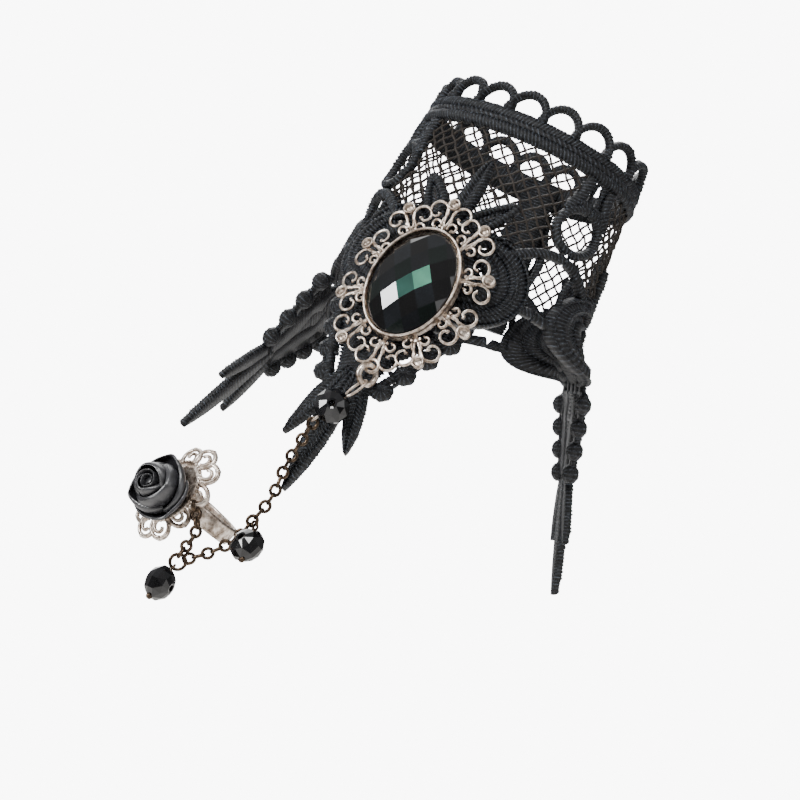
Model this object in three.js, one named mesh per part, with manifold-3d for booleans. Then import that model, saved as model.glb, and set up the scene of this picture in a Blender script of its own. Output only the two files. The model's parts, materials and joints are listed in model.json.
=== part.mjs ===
// Lace wrist cuff with an oval filigree brooch, a beaded chain and a ribbon-rose finger ring.
// Millimetres, +Z up. The origin is the middle of the wrist hollow, level with the lower edge of the border.
// The cuff keeps its worn form: its axis slants up the arm, and the back of the hand faces -Y.
import * as THREE from 'three';
import Module from 'manifold-3d';
import { mergeVertices } from 'three/addons/utils/BufferGeometryUtils.js';

const wasm = await Module();
wasm.setup();

const degrees = Math.PI / 180;
const clearance = 0.3; // between neighbouring pieces

// The wrist that the lace is bent round: a flat oval that widens towards the hand
const wrist = {
  halfWidth: 24.75,
  handHalfWidth: 27.75,
  flareLength: 65,
  flatness: 0.8,
  rise: 62.9 * degrees,
  tilt: 12 * degrees,
  roll: 20 * degrees,
};

// The lace: three repeats of one embroidered motif, closed under the wrist
const lace = {
  repeats: 3,
  sizingLevel: 11.3, // how far below the border the repeat is measured round the wrist
  lean: 0.085, // sideways drift of the motif for each millimetre down
  leanStart: 6,
  bendStep: 12, // longest straight stretch round the wrist
  netThickness: 1.0,
  cordThickness: 1.8,
  cordWidth: 2.4,
  padThickness: 2.2,
  ballDiameter: 4.4,
};

const border = {
  height: 6.4,
  scallops: 17,
  scallopRadius: 5.2,
  scallopHeight: 6.0, // above the band
  scallopCord: 2.2,
  scallopFoot: 0.8, // how far the foot of a loop reaches below the band's top edge
  sections: 34,
};

const net = {
  top: clearance,
  mesh: 6.0, // diagonal of one opening with its strand
  strand: 1.5,
};

const hole = {
  diameter: 8.4,
  level: 12.5,
  ringWidth: 2.2,
  teardropWidth: 3.4,
  archLevel: 20.2,
};

const crescent = {
  level: 34,
  offset: 13.2,
  halfWidth: 8.4,
  halfHeight: 9.2,
  width: 4.4,
  innerShare: 0.44,
};

const rosettePad = { level: 36, halfWidth: 6.5, halfHeight: 9.9, thickness: 3.0 };

const dropSize = {
  start: 46,
  topHalfWidth: 14,
  neckLevel: 67,
  neckHalfWidth: 4.6,
  ballPitch: 5.2,
  leafLength: 26,
  sideLeafLength: 16,
  sideLeafSpread: 7.5,
};

// name, repeat round the wrist, level where the lace leaves the wrist, point where its drop starts,
// the way the drop falls and the way its width runs
const drops = [
  { name: 'front', repeat: 0, leaves: 90, start: [0, 0, 0], fall: [0, 0, -1], spread: [1, 0, 0] },
  { name: 'right', repeat: 1, leaves: 24, start: [10.4, 1, -49.1], fall: [-0.1, 0, -0.99], spread: [-0.12, 0.99, 0] },
  { name: 'left', repeat: -1, leaves: 27, start: [-43.6, 12, -29.7], fall: [-0.7, -0.38, -0.6], spread: [-0.05, -0.9, 0.42] },
];

const clasp = { width: 9, thickness: 1.3, top: -5.6, bottom: 32 };

const stone = { width: 18, length: 25, height: 4.6, girdle: 0.9, sides: 16, tableShare: 0.5, crownShare: 0.8 };

const brooch = {
  bezelSides: 16,
  across: 1.7,
  down: 41.2,
  out: 3.4,
  turn: -2 * degrees,
  lift: 3 * degrees,
  sheet: 0.9,
  bezelWall: 0.7,
  bezelHeight: 2.6,
  floor: 0.8,
  units: 10,
  firstUnit: -4 * degrees,
  halfWidth: 15.6,
  halfLength: 20.4,
  cupDiameter: 3.1,
  cupHeight: 1.5,
  wire: 1.0,
  outerCurl: 2.55,
  innerCurl: 1.45,
  sideDroop: 1.7,
  eyeletHole: 2.4,
};

const jumpRing = { outer: 5.2, wire: 0.8, turn: -52 * degrees, hook: 0 };
const bead = { diameter: 7.8, length: 6.0, bore: 1.4, sides: 10 };
const pin = { wire: 0.55, eyeHalf: 0.95, longEyeHalf: 3.0, longEyeHalfWidth: 1.3, head: 1.5, shaft: 0.5, longShaft: 1.6 };
const link = { length: 3.3, width: 2.8, wire: 0.62, sides: 10, wireSides: 5, bite: 0.15, free: 0.42, loopFree: 0.28, junction: 1.75 };

const ring = {
  bore: 17.4,
  shankWidth: 4,
  shankThickness: 1.1,
  axis: new THREE.Vector3(-0.664, 0, -0.749),
  face: new THREE.Vector3(-0.475, -0.766, 0.427),
  basePlace: new THREE.Vector3(-76.5, -33.5, -71.4),
  baseLength: 24.4,
  baseWidth: 16.4,
  plateLength: 15,
  plateWidth: 11,
  petals: 10,
  petalDiameter: 5.4,
  petalWire: 0.9,
  sheet: 0.9,
  droop: 2.0,
  hookPetal: 3,
  hookAngle: 36 * degrees,
};

const rose = {
  offset: [1.4, -0.7, 0],
  budRadius: 3.3,
  height: 8.4,
  petals: 5,
  petalThickness: 0.9,
  spread: 1.02,
};

// Route of the chains: chosen points from the first bead over the knuckles to the ring
const chainRoute = {
  long: [
    [-52.4, -39.2, -65.4],
    [-55.6, -39.4, -72.4],
    [-59.9, -39.2, -77.6],
    [-63.2, -38.0, -81.2],
    [-68.4, -37.6, -84.0],
    [-73.2, -38.0, -85.4],
  ],
  shortSag: [1.8, -1.9, -0.4],
};

// Where the beads hang
const beadPlaces = {
  first: new THREE.Vector3(-43.2, -39.4, -53.3),
  second: new THREE.Vector3(-60.6, -42.9, -82.5),
  third: new THREE.Vector3(-79.8, -41.2, -91.2),
  carrierLink: 12,
  carrierSide: 1,
  carrierShift: 0.3,
};
const materials = {
  lace: new THREE.MeshStandardMaterial({ color: 0x1b1c20, roughness: 0.7, metalness: 0 }),
  tape: new THREE.MeshStandardMaterial({ color: 0x141416, roughness: 0.8, metalness: 0 }),
  silver: new THREE.MeshStandardMaterial({ color: 0xb9ad9d, roughness: 0.35, metalness: 1 }),
  gunmetal: new THREE.MeshStandardMaterial({ color: 0x3a332c, roughness: 0.4, metalness: 1 }),
  glass: new THREE.MeshStandardMaterial({ color: 0x050607, roughness: 0.08, metalness: 0 }),
  satin: new THREE.MeshStandardMaterial({ color: 0x2c2c2f, roughness: 0.45, metalness: 0 }),
};

// Solids and booleans

function solidFrom(geometry) {
  const bare = geometry.clone();
  bare.deleteAttribute('normal');
  bare.deleteAttribute('uv');
  const merged = mergeVertices(bare, 1e-4);
  return new wasm.Manifold(new wasm.Mesh({
    numProp: 3,
    vertProperties: new Float32Array(merged.attributes.position.array),
    triVerts: new Uint32Array(merged.index.array),
  }));
}

function joined(solids) {
  return solids.reduce((sum, solid) => sum.add(solid));
}

// A closed skin of points and triangles, turned so that its faces point out
function geometryFrom(points, faces) {
  const volume = faces.reduce((sum, [a, b, c]) => (
    sum + points[a].dot(new THREE.Vector3().crossVectors(points[b], points[c]))
  ), 0);
  const outward = volume < 0 ? faces.map(([a, b, c]) => [a, c, b]) : faces;
  const geometry = new THREE.BufferGeometry();
  const flat = points.flatMap((point) => [point.x, point.y, point.z]);
  geometry.setAttribute('position', new THREE.Float32BufferAttribute(flat, 3));
  geometry.setIndex(outward.flat());
  return geometry;
}

function solidGeometry(solid) {
  const mesh = solid.getMesh();
  const geometry = new THREE.BufferGeometry();
  geometry.setAttribute('position', new THREE.BufferAttribute(new Float32Array(mesh.vertProperties), 3));
  geometry.setIndex(new THREE.BufferAttribute(new Uint32Array(mesh.triVerts), 1));
  return geometry;
}

// A closed skin through rings of points: each ring has the same count, in order along the piece
function skin(rings, closed = false) {
  const count = rings[0].length;
  const faces = [];
  const spans = closed ? rings.length : rings.length - 1;
  for (let i = 0; i < spans; i += 1) {
    const here = i * count;
    const there = ((i + 1) % rings.length) * count;
    for (let j = 0; j < count; j += 1) {
      const next = (j + 1) % count;
      faces.push([here + j, here + next, there + next], [here + j, there + next, there + j]);
    }
  }
  if (!closed) {
    const last = (rings.length - 1) * count;
    for (let j = 1; j < count - 1; j += 1) {
      faces.push([0, j + 1, j], [last, last + j, last + j + 1]);
    }
  }
  return geometryFrom(rings.flat(), faces);
}

function flatShape(outline, holes = []) {
  const shape = new THREE.Shape(outline);
  holes.forEach((points) => shape.holes.push(new THREE.Path(points)));
  return shape;
}

function slab(outline, low, high, holes = []) {
  const options = { depth: high - low, bevelEnabled: false, steps: 1 };
  return solidFrom(new THREE.ExtrudeGeometry(flatShape(outline, holes), options).translate(0, 0, low));
}

// A padded strip along a flat path: wide at its foot, and narrower or a single ridge at its crest
function padded(path, halfWidths, low, high, crest, closed = false) {
  const rings = path.map((point, i) => {
    const before = path[i === 0 ? (closed ? path.length - 1 : 0) : i - 1];
    const after = path[i === path.length - 1 ? (closed ? 0 : i) : i + 1];
    const way = new THREE.Vector2(after.x - before.x, after.y - before.y).normalize();
    const half = Array.isArray(halfWidths) ? halfWidths[i] : halfWidths;
    const corner = (side, level) => new THREE.Vector3(point.x - way.y * side, point.y + way.x * side, level);
    const top = crest === 0 ? [corner(0, high)] : [corner(-half * crest, high), corner(half * crest, high)];
    return [corner(half, low), corner(-half, low), ...top];
  });
  return solidFrom(skin(rings, closed));
}

function arcPath(centreX, centreY, radiusX, radiusY, from, to, steps) {
  const path = [];
  for (let i = 0; i <= steps; i += 1) {
    const angle = from + ((to - from) * i) / steps;
    path.push(new THREE.Vector2(centreX + radiusX * Math.cos(angle), centreY + radiusY * Math.sin(angle)));
  }
  return path;
}

function closedArc(centreX, centreY, radiusX, radiusY, steps) {
  return arcPath(centreX, centreY, radiusX, radiusY, 0, 2 * Math.PI, steps).slice(0, -1);
}

function mirrored(path) {
  return path.map((point) => new THREE.Vector2(-point.x, point.y));
}

// A leaf: a strip that swells from its stalk and runs out to a point, with a ridge as its midrib
function leaf(from, to, width, low, high) {
  const shares = [0, 0.3, 0.65, 1];
  const swell = [0.4, 1, 0.85, 0.06];
  const path = shares.map((share) => new THREE.Vector2().lerpVectors(from, to, share));
  return padded(path, swell.map((share) => (share * width) / 2), low, high, 0);
}

function ball(x, y, diameter, middle) {
  const sphere = new THREE.SphereGeometry(diameter / 2, 6, 3);
  sphere.scale(1, 1, 0.62).translate(x, y, middle);
  return solidFrom(sphere);
}

// The wrist form

function halfWidthAt(down) {
  const share = 1 - (1 - down / wrist.flareLength) ** 2;
  return wrist.halfWidth + (wrist.handHalfWidth - wrist.halfWidth) * share;
}

const arcSteps = 720;
const arcLengths = [0];
for (let i = 1; i <= arcSteps; i += 1) {
  const angle = (2 * Math.PI * (i - 0.5)) / arcSteps;
  arcLengths.push(arcLengths[i - 1] + Math.hypot(Math.cos(angle), wrist.flatness * Math.sin(angle)));
}
const ovalPerimeter = (arcLengths[arcSteps] * 2 * Math.PI) / arcSteps; // for a half width of 1
const repeatWidth = (ovalPerimeter * halfWidthAt(lace.sizingLevel)) / lace.repeats;
const midline = repeatWidth / 2; // between two repeats, where the round holes lie

function angleAt(turns) {
  const whole = Math.floor(turns);
  const sought = (turns - whole) * arcLengths[arcSteps];
  const index = arcLengths.findIndex((length) => length > sought);
  const start = arcLengths[index - 1];
  const share = (sought - start) / (arcLengths[index] - start);
  return ((index - 1 + share) / arcSteps + whole) * 2 * Math.PI;
}

// A point of the lace in the wrist's own frame: x across, y out of the back of the hand, z towards the hand
function onWrist(across, down, out) {
  const drifted = across - lace.lean * (down - lace.leanStart);
  const angle = angleAt(drifted / (lace.repeats * repeatWidth));
  const wide = halfWidthAt(down);
  const deep = wrist.flatness * wide;
  const normal = new THREE.Vector2(Math.sin(angle) / wide, Math.cos(angle) / deep).normalize();
  return new THREE.Vector3(
    wide * Math.sin(angle) + out * normal.x,
    deep * Math.cos(angle) + out * normal.y,
    down,
  );
}

function outwardAt(across, down) {
  return onWrist(across, down, 1).sub(onWrist(across, down, 0));
}

const armWay = new THREE.Vector3(
  Math.cos(wrist.rise) * Math.cos(wrist.tilt),
  Math.sin(wrist.tilt),
  Math.sin(wrist.rise) * Math.cos(wrist.tilt),
);
const facing = new THREE.Vector3(0, -1, 0).projectOnPlane(armWay).normalize();
const sideways = new THREE.Vector3().crossVectors(armWay, facing);
const wideWay = sideways.clone().applyAxisAngle(armWay, -wrist.roll);
const deepWay = facing.clone().applyAxisAngle(armWay, -wrist.roll);
const wristFrame = new THREE.Matrix4().makeBasis(wideWay, deepWay, armWay.clone().negate());

// Bends a flat solid: edges that are long round the wrist are halved first, then each corner is placed
function bent(solid, place, step) {
  const mesh = solid.getMesh();
  const points = [];
  for (let i = 0; i < mesh.vertProperties.length; i += 3) {
    points.push(new THREE.Vector3().fromArray(mesh.vertProperties, i));
  }
  let faces = [];
  for (let i = 0; i < mesh.triVerts.length; i += 3) {
    faces.push([mesh.triVerts[i], mesh.triVerts[i + 1], mesh.triVerts[i + 2]]);
  }
  const isLong = (a, b) => Math.abs(points[a].x - points[b].x) > step;
  let halving = true;
  while (halving) {
    const middles = new Map();
    const middle = (a, b) => {
      const key = a < b ? `${a} ${b}` : `${b} ${a}`;
      if (!middles.has(key)) {
        middles.set(key, points.push(new THREE.Vector3().lerpVectors(points[a], points[b], 0.5)) - 1);
      }
      return middles.get(key);
    };
    faces = faces.flatMap((face) => halvedFace(face, isLong, middle));
    halving = middles.size > 0;
  }
  return geometryFrom(points.map((point) => place(point.x, point.y, point.z)), faces);
}

function halvedFace(face, isLong, middle) {
  const long = face.map((corner, i) => isLong(corner, face[(i + 1) % 3]));
  const count = long.filter(Boolean).length;
  if (count === 0) return [face];
  const first = count === 2 ? (long.indexOf(false) + 1) % 3 : Math.max(long.indexOf(true), 0);
  const [a, b, c] = [face[first], face[(first + 1) % 3], face[(first + 2) % 3]];
  const ab = middle(a, b);
  if (count === 1) return [[a, ab, c], [ab, b, c]];
  const bc = middle(b, c);
  if (count === 2) return [[ab, b, bc], [a, ab, bc], [a, bc, c]];
  const ca = middle(c, a);
  return [[a, ab, ca], [ab, b, bc], [ca, bc, c], [ab, bc, ca]];
}

// The lace

const cordMiddle = lace.cordThickness / 2;
const laceEnd = (lace.repeats * repeatWidth) / 2 - clearance / 2;

function borderBand() {
  const cordHalf = border.height / 4;
  const profile = [
    [0, 0],
    [-border.height, 0],
    [-border.height + cordHalf * 0.4, lace.cordThickness + 0.2],
    [-border.height / 2, lace.cordThickness * 0.7],
    [-cordHalf * 0.4, lace.cordThickness + 0.2],
  ];
  const rings = [];
  for (let i = 0; i <= border.sections; i += 1) {
    const across = -laceEnd + (2 * laceEnd * i) / border.sections;
    rings.push(profile.map(([down, out]) => onWrist(across, down, out)));
  }
  return solidFrom(skin(rings));
}

function scallop(across, lift) {
  const half = border.scallopCord / 2;
  const level = -border.height + border.scallopFoot;
  const path = arcPath(0, 0, border.scallopRadius - half, border.scallopHeight + border.scallopFoot - half,
    Math.PI, 2 * Math.PI, 6);
  const rings = path.map((point, i) => {
    const way = Math.PI + (Math.PI * i) / (path.length - 1);
    const corner = (side, out) => onWrist(
      across + point.x + Math.cos(way) * side,
      level + point.y + Math.sin(way) * side,
      out + lift,
    );
    return [corner(-half, 0.2), corner(half, 0.2), corner(0, 2.3)];
  });
  return solidFrom(skin(rings));
}

function laceBorder() {
  const pitch = (lace.repeats * repeatWidth) / border.scallops;
  const solids = [borderBand()];
  for (let i = 0; i < border.scallops; i += 1) {
    const across = -laceEnd + pitch * (i + 0.5);
    solids.push(scallop(across, i % 2 === 0 ? 0.16 : -0.16));
  }
  return solidGeometry(joined(solids));
}

// Half width of the net between its side cords
const netEdge = [
  { down: 0, half: midline - 3.0 },
  { down: 5.5, half: midline - 4.4 },
  { down: 9.2, half: midline - 7.0 },
  { down: 12.5, half: midline - 7.4 },
  { down: 16.0, half: midline - 6.6 },
  { down: 20.0, half: midline - 3.9 },
  { down: 22.6, half: midline - 6.4 },
  { down: 25.5, half: midline - 12.2 },
];

function netHalfWidthAt(down) {
  const index = netEdge.findIndex((row) => row.down >= down);
  if (index < 0) return 0;
  if (index === 0) return netEdge[0].half;
  const [above, below] = [netEdge[index - 1], netEdge[index]];
  const share = (down - above.down) / (below.down - above.down);
  return above.half + (below.half - above.half) * share;
}

// The sprig of three veined leaves that stands in the net
const sprig = [
  { foot: [0, 27], tip: [0, 6.4], width: 5.2 },
  { foot: [2.4, 25], tip: [10.2, 14.6], width: 4.6 },
  { foot: [-2.4, 25], tip: [-10.2, 14.6], width: 4.6 },
];

function isNetOpening(x, y, reach) {
  const edge = Math.min(netHalfWidthAt(y - reach), netHalfWidthAt(y + reach), netHalfWidthAt(y));
  if (y - reach < 1.4 || y + reach > 24.5 || Math.abs(x) + reach > edge) return false;
  return sprig.every((row) => {
    const foot = new THREE.Vector3(row.foot[0], row.foot[1], 0);
    const tip = new THREE.Vector3(row.tip[0], row.tip[1], 0);
    const nearest = new THREE.Line3(foot, tip).closestPointToPoint(new THREE.Vector3(x, y, 0), true, new THREE.Vector3());
    return nearest.distanceTo(new THREE.Vector3(x, y, 0)) > row.width / 2 + reach * 0.55;
  });
}

function netPanel() {
  const reach = (net.mesh - net.strand) / 2;
  const openings = [];
  for (let row = 0; row < 12; row += 1) {
    const y = 3.4 + (row * net.mesh) / 2;
    for (let column = -5; column <= 5; column += 1) {
      const x = (column + (row % 2) / 2) * net.mesh;
      if (isNetOpening(x, y, reach)) {
        openings.push([
          new THREE.Vector2(x + reach, y),
          new THREE.Vector2(x, y - reach),
          new THREE.Vector2(x - reach, y),
          new THREE.Vector2(x, y + reach),
        ]);
      }
    }
  }
  const right = netEdge.map((row) => new THREE.Vector2(row.half, Math.max(row.down, net.top)));
  const outline = [...right, ...mirrored(right).reverse()];
  const low = cordMiddle - lace.netThickness / 2;
  return slab(outline, low, low + lace.netThickness, openings);
}

// Cords of one side of a repeat: round the hole, up to the border and over the lower hole
function sideCords() {
  const half = lace.cordWidth / 2;
  const edge = midline - clearance / 2;
  const ringRadius = (hole.diameter + hole.ringWidth) / 2;
  const ringEnd = Math.asin((clearance / 2) / ringRadius) + Math.PI / 2;
  const ringHalf = arcPath(midline, hole.level, ringRadius, ringRadius, ringEnd, 2 * Math.PI - ringEnd, 6);
  const riser = [
    [midline - 2.9, clearance],
    [midline - 3.0, 3.2],
    [midline - 3.9, 6.6],
    [midline - 5.0, 9.0],
  ];
  const bar = [[edge, 6.6], [midline - 3.4, 6.2]];
  const arch = [
    [edge, hole.archLevel - 0.2],
    [midline - 3.2, hole.archLevel + 0.4],
    [midline - 6.4, hole.archLevel + 2.0],
    [midline - 9.4, hole.archLevel + 4.2],
    [midline - 12.6, hole.archLevel + 6.4],
  ];
  const link = [[edge, 34.4], [midline - 4.0, 35.0]];
  const flat = (rows) => rows.map(([x, y]) => new THREE.Vector2(x, y));
  return [
    { path: ringHalf, half: hole.ringWidth / 2, low: 0.62, high: 2.3, crest: 0 },
    { path: flat(riser), half, low: 0.6, high: 2.2, crest: 0 },
    { path: flat(bar), half: 1.3, low: 0.66, high: 2.0, crest: 0 },
    { path: flat(arch), half, low: 0.58, high: 2.4, crest: 0 },
    { path: flat(link), half: 1.4, low: 0.64, high: 2.0, crest: 0 },
  ];
}

function crescents() {
  const swell = [0.3, 0.75, 1, 1, 1, 0.75, 0.3];
  const outer = arcPath(crescent.offset - 4.4, crescent.level, crescent.halfWidth + 2.2, crescent.halfHeight,
    -105 * degrees, 105 * degrees, 6);
  const inner = arcPath(crescent.offset - 5.2, crescent.level, crescent.halfWidth * crescent.innerShare + 2,
    crescent.halfHeight * crescent.innerShare + 1.2, -100 * degrees, 100 * degrees, 6);
  return [
    { path: outer, halves: swell.map((share) => (share * crescent.width) / 2), high: lace.padThickness },
    { path: inner, halves: swell.map((share) => (share * crescent.width) / 2.3), high: lace.padThickness - 0.2 },
  ];
}

function lacePanelFlat() {
  const solids = [netPanel()];
  sprig.forEach((row) => {
    const foot = new THREE.Vector2(...row.foot);
    const tip = new THREE.Vector2(...row.tip);
    solids.push(leaf(foot, tip, row.width, 0.7, lace.padThickness + 0.2));
  });
  sideCords().forEach((cord) => {
    solids.push(padded(cord.path, cord.half, cord.low, cord.high, cord.crest));
    solids.push(padded(mirrored(cord.path), cord.half, cord.low, cord.high, cord.crest));
  });
  crescents().forEach((pad, i) => {
    solids.push(padded(pad.path, pad.halves, 0.56 - 0.04 * i, pad.high + 0.3, 0));
    solids.push(padded(mirrored(pad.path), pad.halves, 0.56 - 0.04 * i, pad.high + 0.3, 0));
  });
  const pad = closedArc(0, rosettePad.level, rosettePad.halfWidth, rosettePad.halfHeight, 12);
  const floor = closedArc(0, rosettePad.level - 0.9, crescent.offset - 2, rosettePad.halfHeight, 12);
  solids.push(slab(pad, 0.7, rosettePad.thickness));
  solids.push(slab(floor, 0.45, 1.6));
  const edge = midline - clearance / 2;
  const ownRepeat = [[-edge, net.top], [edge, net.top], [edge, dropSize.start], [-edge, dropSize.start]];
  return joined(solids).intersect(slab(ownRepeat.map(([x, y]) => new THREE.Vector2(x, y)), -2, 6));
}

// The drops

// Places one repeat on the wrist. Below the level where it leaves, the lace eases over into a flat fall.
function onRepeat(drop) {
  const toWrist = wristFrame.clone().invert();
  const start = new THREE.Vector3(...drop.start).applyMatrix4(toWrist);
  const fall = new THREE.Vector3(...drop.fall).applyMatrix4(toWrist).normalize();
  const spread = new THREE.Vector3(...drop.spread).applyMatrix4(toWrist).projectOnPlane(fall).normalize();
  const outward = new THREE.Vector3().crossVectors(fall, spread);
  return (across, down, out) => {
    const level = THREE.MathUtils.smoothstep(down, drop.leaves, dropSize.start);
    const side = 1 - THREE.MathUtils.smoothstep(Math.abs(across), dropSize.topHalfWidth, midline);
    const onFall = start.clone()
      .addScaledVector(fall, down - dropSize.start)
      .addScaledVector(spread, across)
      .addScaledVector(outward, out);
    return onWrist(across + drop.repeat * repeatWidth, down, out).lerp(onFall, drop.leaves < dropSize.start ? level * side : 0);
  };
}

function dropFlat() {
  const top = dropSize.start + clearance;
  const neck = dropSize.neckLevel;
  const height = neck - top;
  const bodyHalf = dropSize.neckHalfWidth;
  const solids = [];
  const body = [
    [-bodyHalf * 1.5, top],
    [bodyHalf * 1.5, top],
    [bodyHalf * 1.25, top + height * 0.5],
    [bodyHalf * 0.8, neck + 2],
    [-bodyHalf * 0.8, neck + 2],
    [-bodyHalf * 1.25, top + height * 0.5],
  ];
  const gap = (y, half, tall) => [
    [0, y - tall], [-half, y], [0, y + tall], [half, y],
  ].map(([x, level]) => new THREE.Vector2(x, level));
  solids.push(slab(body.map(([x, y]) => new THREE.Vector2(x, y)), 0.4, 1.6, [gap(top + 6, 2.4, 3.2)]));
  [-1, 1].forEach((side) => {
    const rail = [
      [side * (dropSize.topHalfWidth - 2), top + 0.9],
      [side * (dropSize.topHalfWidth - 3.4), top + height * 0.4],
      [side * bodyHalf, neck],
    ].map(([x, y]) => new THREE.Vector2(x, y));
    solids.push(padded(rail, 1.1, 0.5, 2.1, 0));
    const cross = [[0, top + 1.1], [side * (dropSize.topHalfWidth - 1.4), top + 1.1]]
      .map(([x, y]) => new THREE.Vector2(x, y));
    solids.push(padded(cross, 1.05, 0.55, 2.2, 0));
    for (let i = 0; i < 4; i += 1) {
      const share = (i * dropSize.ballPitch) / height;
      const x = side * (dropSize.topHalfWidth - 0.6 - (dropSize.topHalfWidth - bodyHalf - 1.6) * share * 1.1);
      solids.push(ball(x, top + 3.2 + share * height, lace.ballDiameter, cordMiddle + 0.03 * i));
    }
    const sideTip = new THREE.Vector2(side * dropSize.sideLeafSpread, neck - 2 + dropSize.sideLeafLength);
    solids.push(leaf(new THREE.Vector2(side * 1.5, neck - 2.5), sideTip, 4.4, 0.52, 2.3));
  });
  solids.push(leaf(new THREE.Vector2(0, neck), new THREE.Vector2(0, neck + dropSize.leafLength), 5.6, 0.48, 2.5));
  return joined(solids);
}

function claspGeometry() {
  const rings = [clasp.top, clasp.bottom].map((down) => {
    const inner = [];
    const outer = [];
    for (let i = -2; i <= 2; i += 1) {
      const across = (lace.repeats * repeatWidth) / 2 + (clasp.width * i) / 4;
      inner.push(onWrist(across, down, -clearance - clasp.thickness));
      outer.push(onWrist(across, down, -clearance));
    }
    return [...inner, ...outer.reverse()];
  });
  return skin(rings);
}

// The brooch

// A stretch of wire that follows a run of points, with a section of few sides
function wireSolid(points, wire, sides, closed = false) {
  const count = points.length;
  const normal = new THREE.Vector3();
  const rings = points.map((point, i) => {
    const before = points[closed ? (i + count - 1) % count : Math.max(i - 1, 0)];
    const after = points[closed ? (i + 1) % count : Math.min(i + 1, count - 1)];
    const way = new THREE.Vector3().subVectors(after, before).normalize();
    if (i === 0) {
      normal.set(0, 0, 1);
      if (Math.abs(way.z) > 0.9) normal.set(1, 0, 0);
    }
    normal.projectOnPlane(way).normalize();
    const side = new THREE.Vector3().crossVectors(way, normal);
    return Array.from({ length: sides }, (_, j) => {
      const angle = (2 * Math.PI * (j + 0.5)) / sides;
      return point.clone()
        .addScaledVector(normal, (Math.cos(angle) * wire) / 2)
        .addScaledVector(side, (Math.sin(angle) * wire) / 2);
    });
  });
  return solidFrom(skin(rings, closed));
}

function onOval(angle, halfWidth, halfLength) {
  return new THREE.Vector2(halfWidth * Math.sin(angle), halfLength * Math.cos(angle));
}

// One scroll of the filigree: a big outer curl, a neck beside the stem and a small inner curl
function scrollPath(side) {
  const path = [];
  const outer = new THREE.Vector2(side * 2.75, 3.95);
  for (let i = 0; i <= 5; i += 1) {
    const angle = (-60 + i * 59) * degrees;
    const radius = brooch.outerCurl * (i === 0 ? 0.62 : 1) - brooch.wire / 2;
    path.push(new THREE.Vector2(outer.x + side * radius * Math.cos(angle), outer.y + radius * Math.sin(angle)));
  }
  const inner = new THREE.Vector2(side * 2.0, 0.1);
  for (let i = 0; i <= 2; i += 1) {
    const angle = (150 - i * 100) * degrees;
    const radius = brooch.innerCurl - brooch.wire / 2;
    path.push(new THREE.Vector2(inner.x + side * radius * Math.cos(angle), inner.y + radius * Math.sin(angle)));
  }
  return path;
}

function broochFrame() {
  const innerWidth = stone.width / 2 + clearance;
  const innerLength = stone.length / 2 + clearance;
  const outerWidth = innerWidth + brooch.bezelWall;
  const outerLength = innerLength + brooch.bezelWall;
  const bezelOut = closedArc(0, 0, outerWidth, outerLength, brooch.bezelSides);
  const bezelIn = closedArc(0, 0, innerWidth, innerLength, brooch.bezelSides).reverse();
  const solids = [
    slab(bezelOut, -0.05, brooch.bezelHeight, [bezelIn]),
    slab(bezelOut, 0.0, brooch.floor),
  ];
  for (let i = 0; i < brooch.units; i += 1) {
    const angle = brooch.firstUnit + (2 * Math.PI * i) / brooch.units;
    const tip = onOval(angle, brooch.halfWidth, brooch.halfLength);
    const foot = onOval(angle, outerWidth - 0.3, outerLength - 0.3);
    const way = tip.clone().sub(foot);
    const stretch = way.length() / 6.6;
    way.normalize();
    const across = new THREE.Vector2(way.y, -way.x);
    const put = (x, y) => foot.clone().addScaledVector(across, x * 1.02).addScaledVector(way, y * stretch);
    const raise = 0.02 * (i % 2);
    solids.push(padded([put(0, -0.4), tip], 0.6, 0.06 + raise, brooch.sheet - 0.06, 0));
    if (i !== brooch.units / 2) {
      solids.push(slab(closedArc(tip.x, tip.y, brooch.cupDiameter / 2, brooch.cupDiameter / 2, 6), -0.02, brooch.cupHeight));
    } else {
      const rim = brooch.eyeletHole / 2 + 0.55;
      const outline = closedArc(tip.x, tip.y, rim, rim, 12);
      const bore = closedArc(tip.x, tip.y, brooch.eyeletHole / 2, brooch.eyeletHole / 2, 12).reverse();
      solids.push(slab(outline, -0.02, brooch.sheet + 0.02, [bore]));
    }
    [-1, 1].forEach((side) => {
      const path = scrollPath(side).map((point) => put(point.x, point.y + 1.2));
      solids.push(padded(path, brooch.wire / 2, 0.03 + raise + 0.01 * side, brooch.sheet - 0.01 * side, 0));
    });
  }
  let frame = joined(solids);
  const tip = onOval(brooch.firstUnit + Math.PI, brooch.halfWidth, brooch.halfLength);
  const bore = closedArc(tip.x, tip.y, brooch.eyeletHole / 2, brooch.eyeletHole / 2, 12);
  frame = frame.subtract(slab(bore, -1, 4));
  const droop = (x, y, z) => {
    const beyond = Math.max(Math.abs(x) - outerWidth, 0) / (brooch.halfWidth - outerWidth);
    return new THREE.Vector3(x, y, z - brooch.sideDroop * Math.min(beyond, 1.3) ** 1.5);
  };
  return { geometry: bent(frame, droop, 100), tip };
}

function stoneGeometry() {
  const level = (share, z, turn) => Array.from({ length: stone.sides }, (_, i) => {
    const angle = (2 * Math.PI * (i + turn)) / stone.sides;
    return new THREE.Vector3((stone.width / 2) * share * Math.cos(angle), (stone.length / 2) * share * Math.sin(angle), z);
  });
  const base = brooch.floor + clearance;
  const girdleTop = base + stone.girdle;
  const crown = base + stone.height;
  return skin([
    level(0.94, base, 0),
    level(1, base + stone.girdle / 2, 0),
    level(0.97, girdleTop + 0.4, 0),
    level(stone.crownShare, base + stone.height * 0.72, 0.5),
    level(stone.tableShare, crown, 0),
  ]);
}

function frameOf(origin, xWay, yWay, zWay) {
  return new THREE.Matrix4().makeBasis(xWay, yWay, zWay).setPosition(origin);
}

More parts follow.
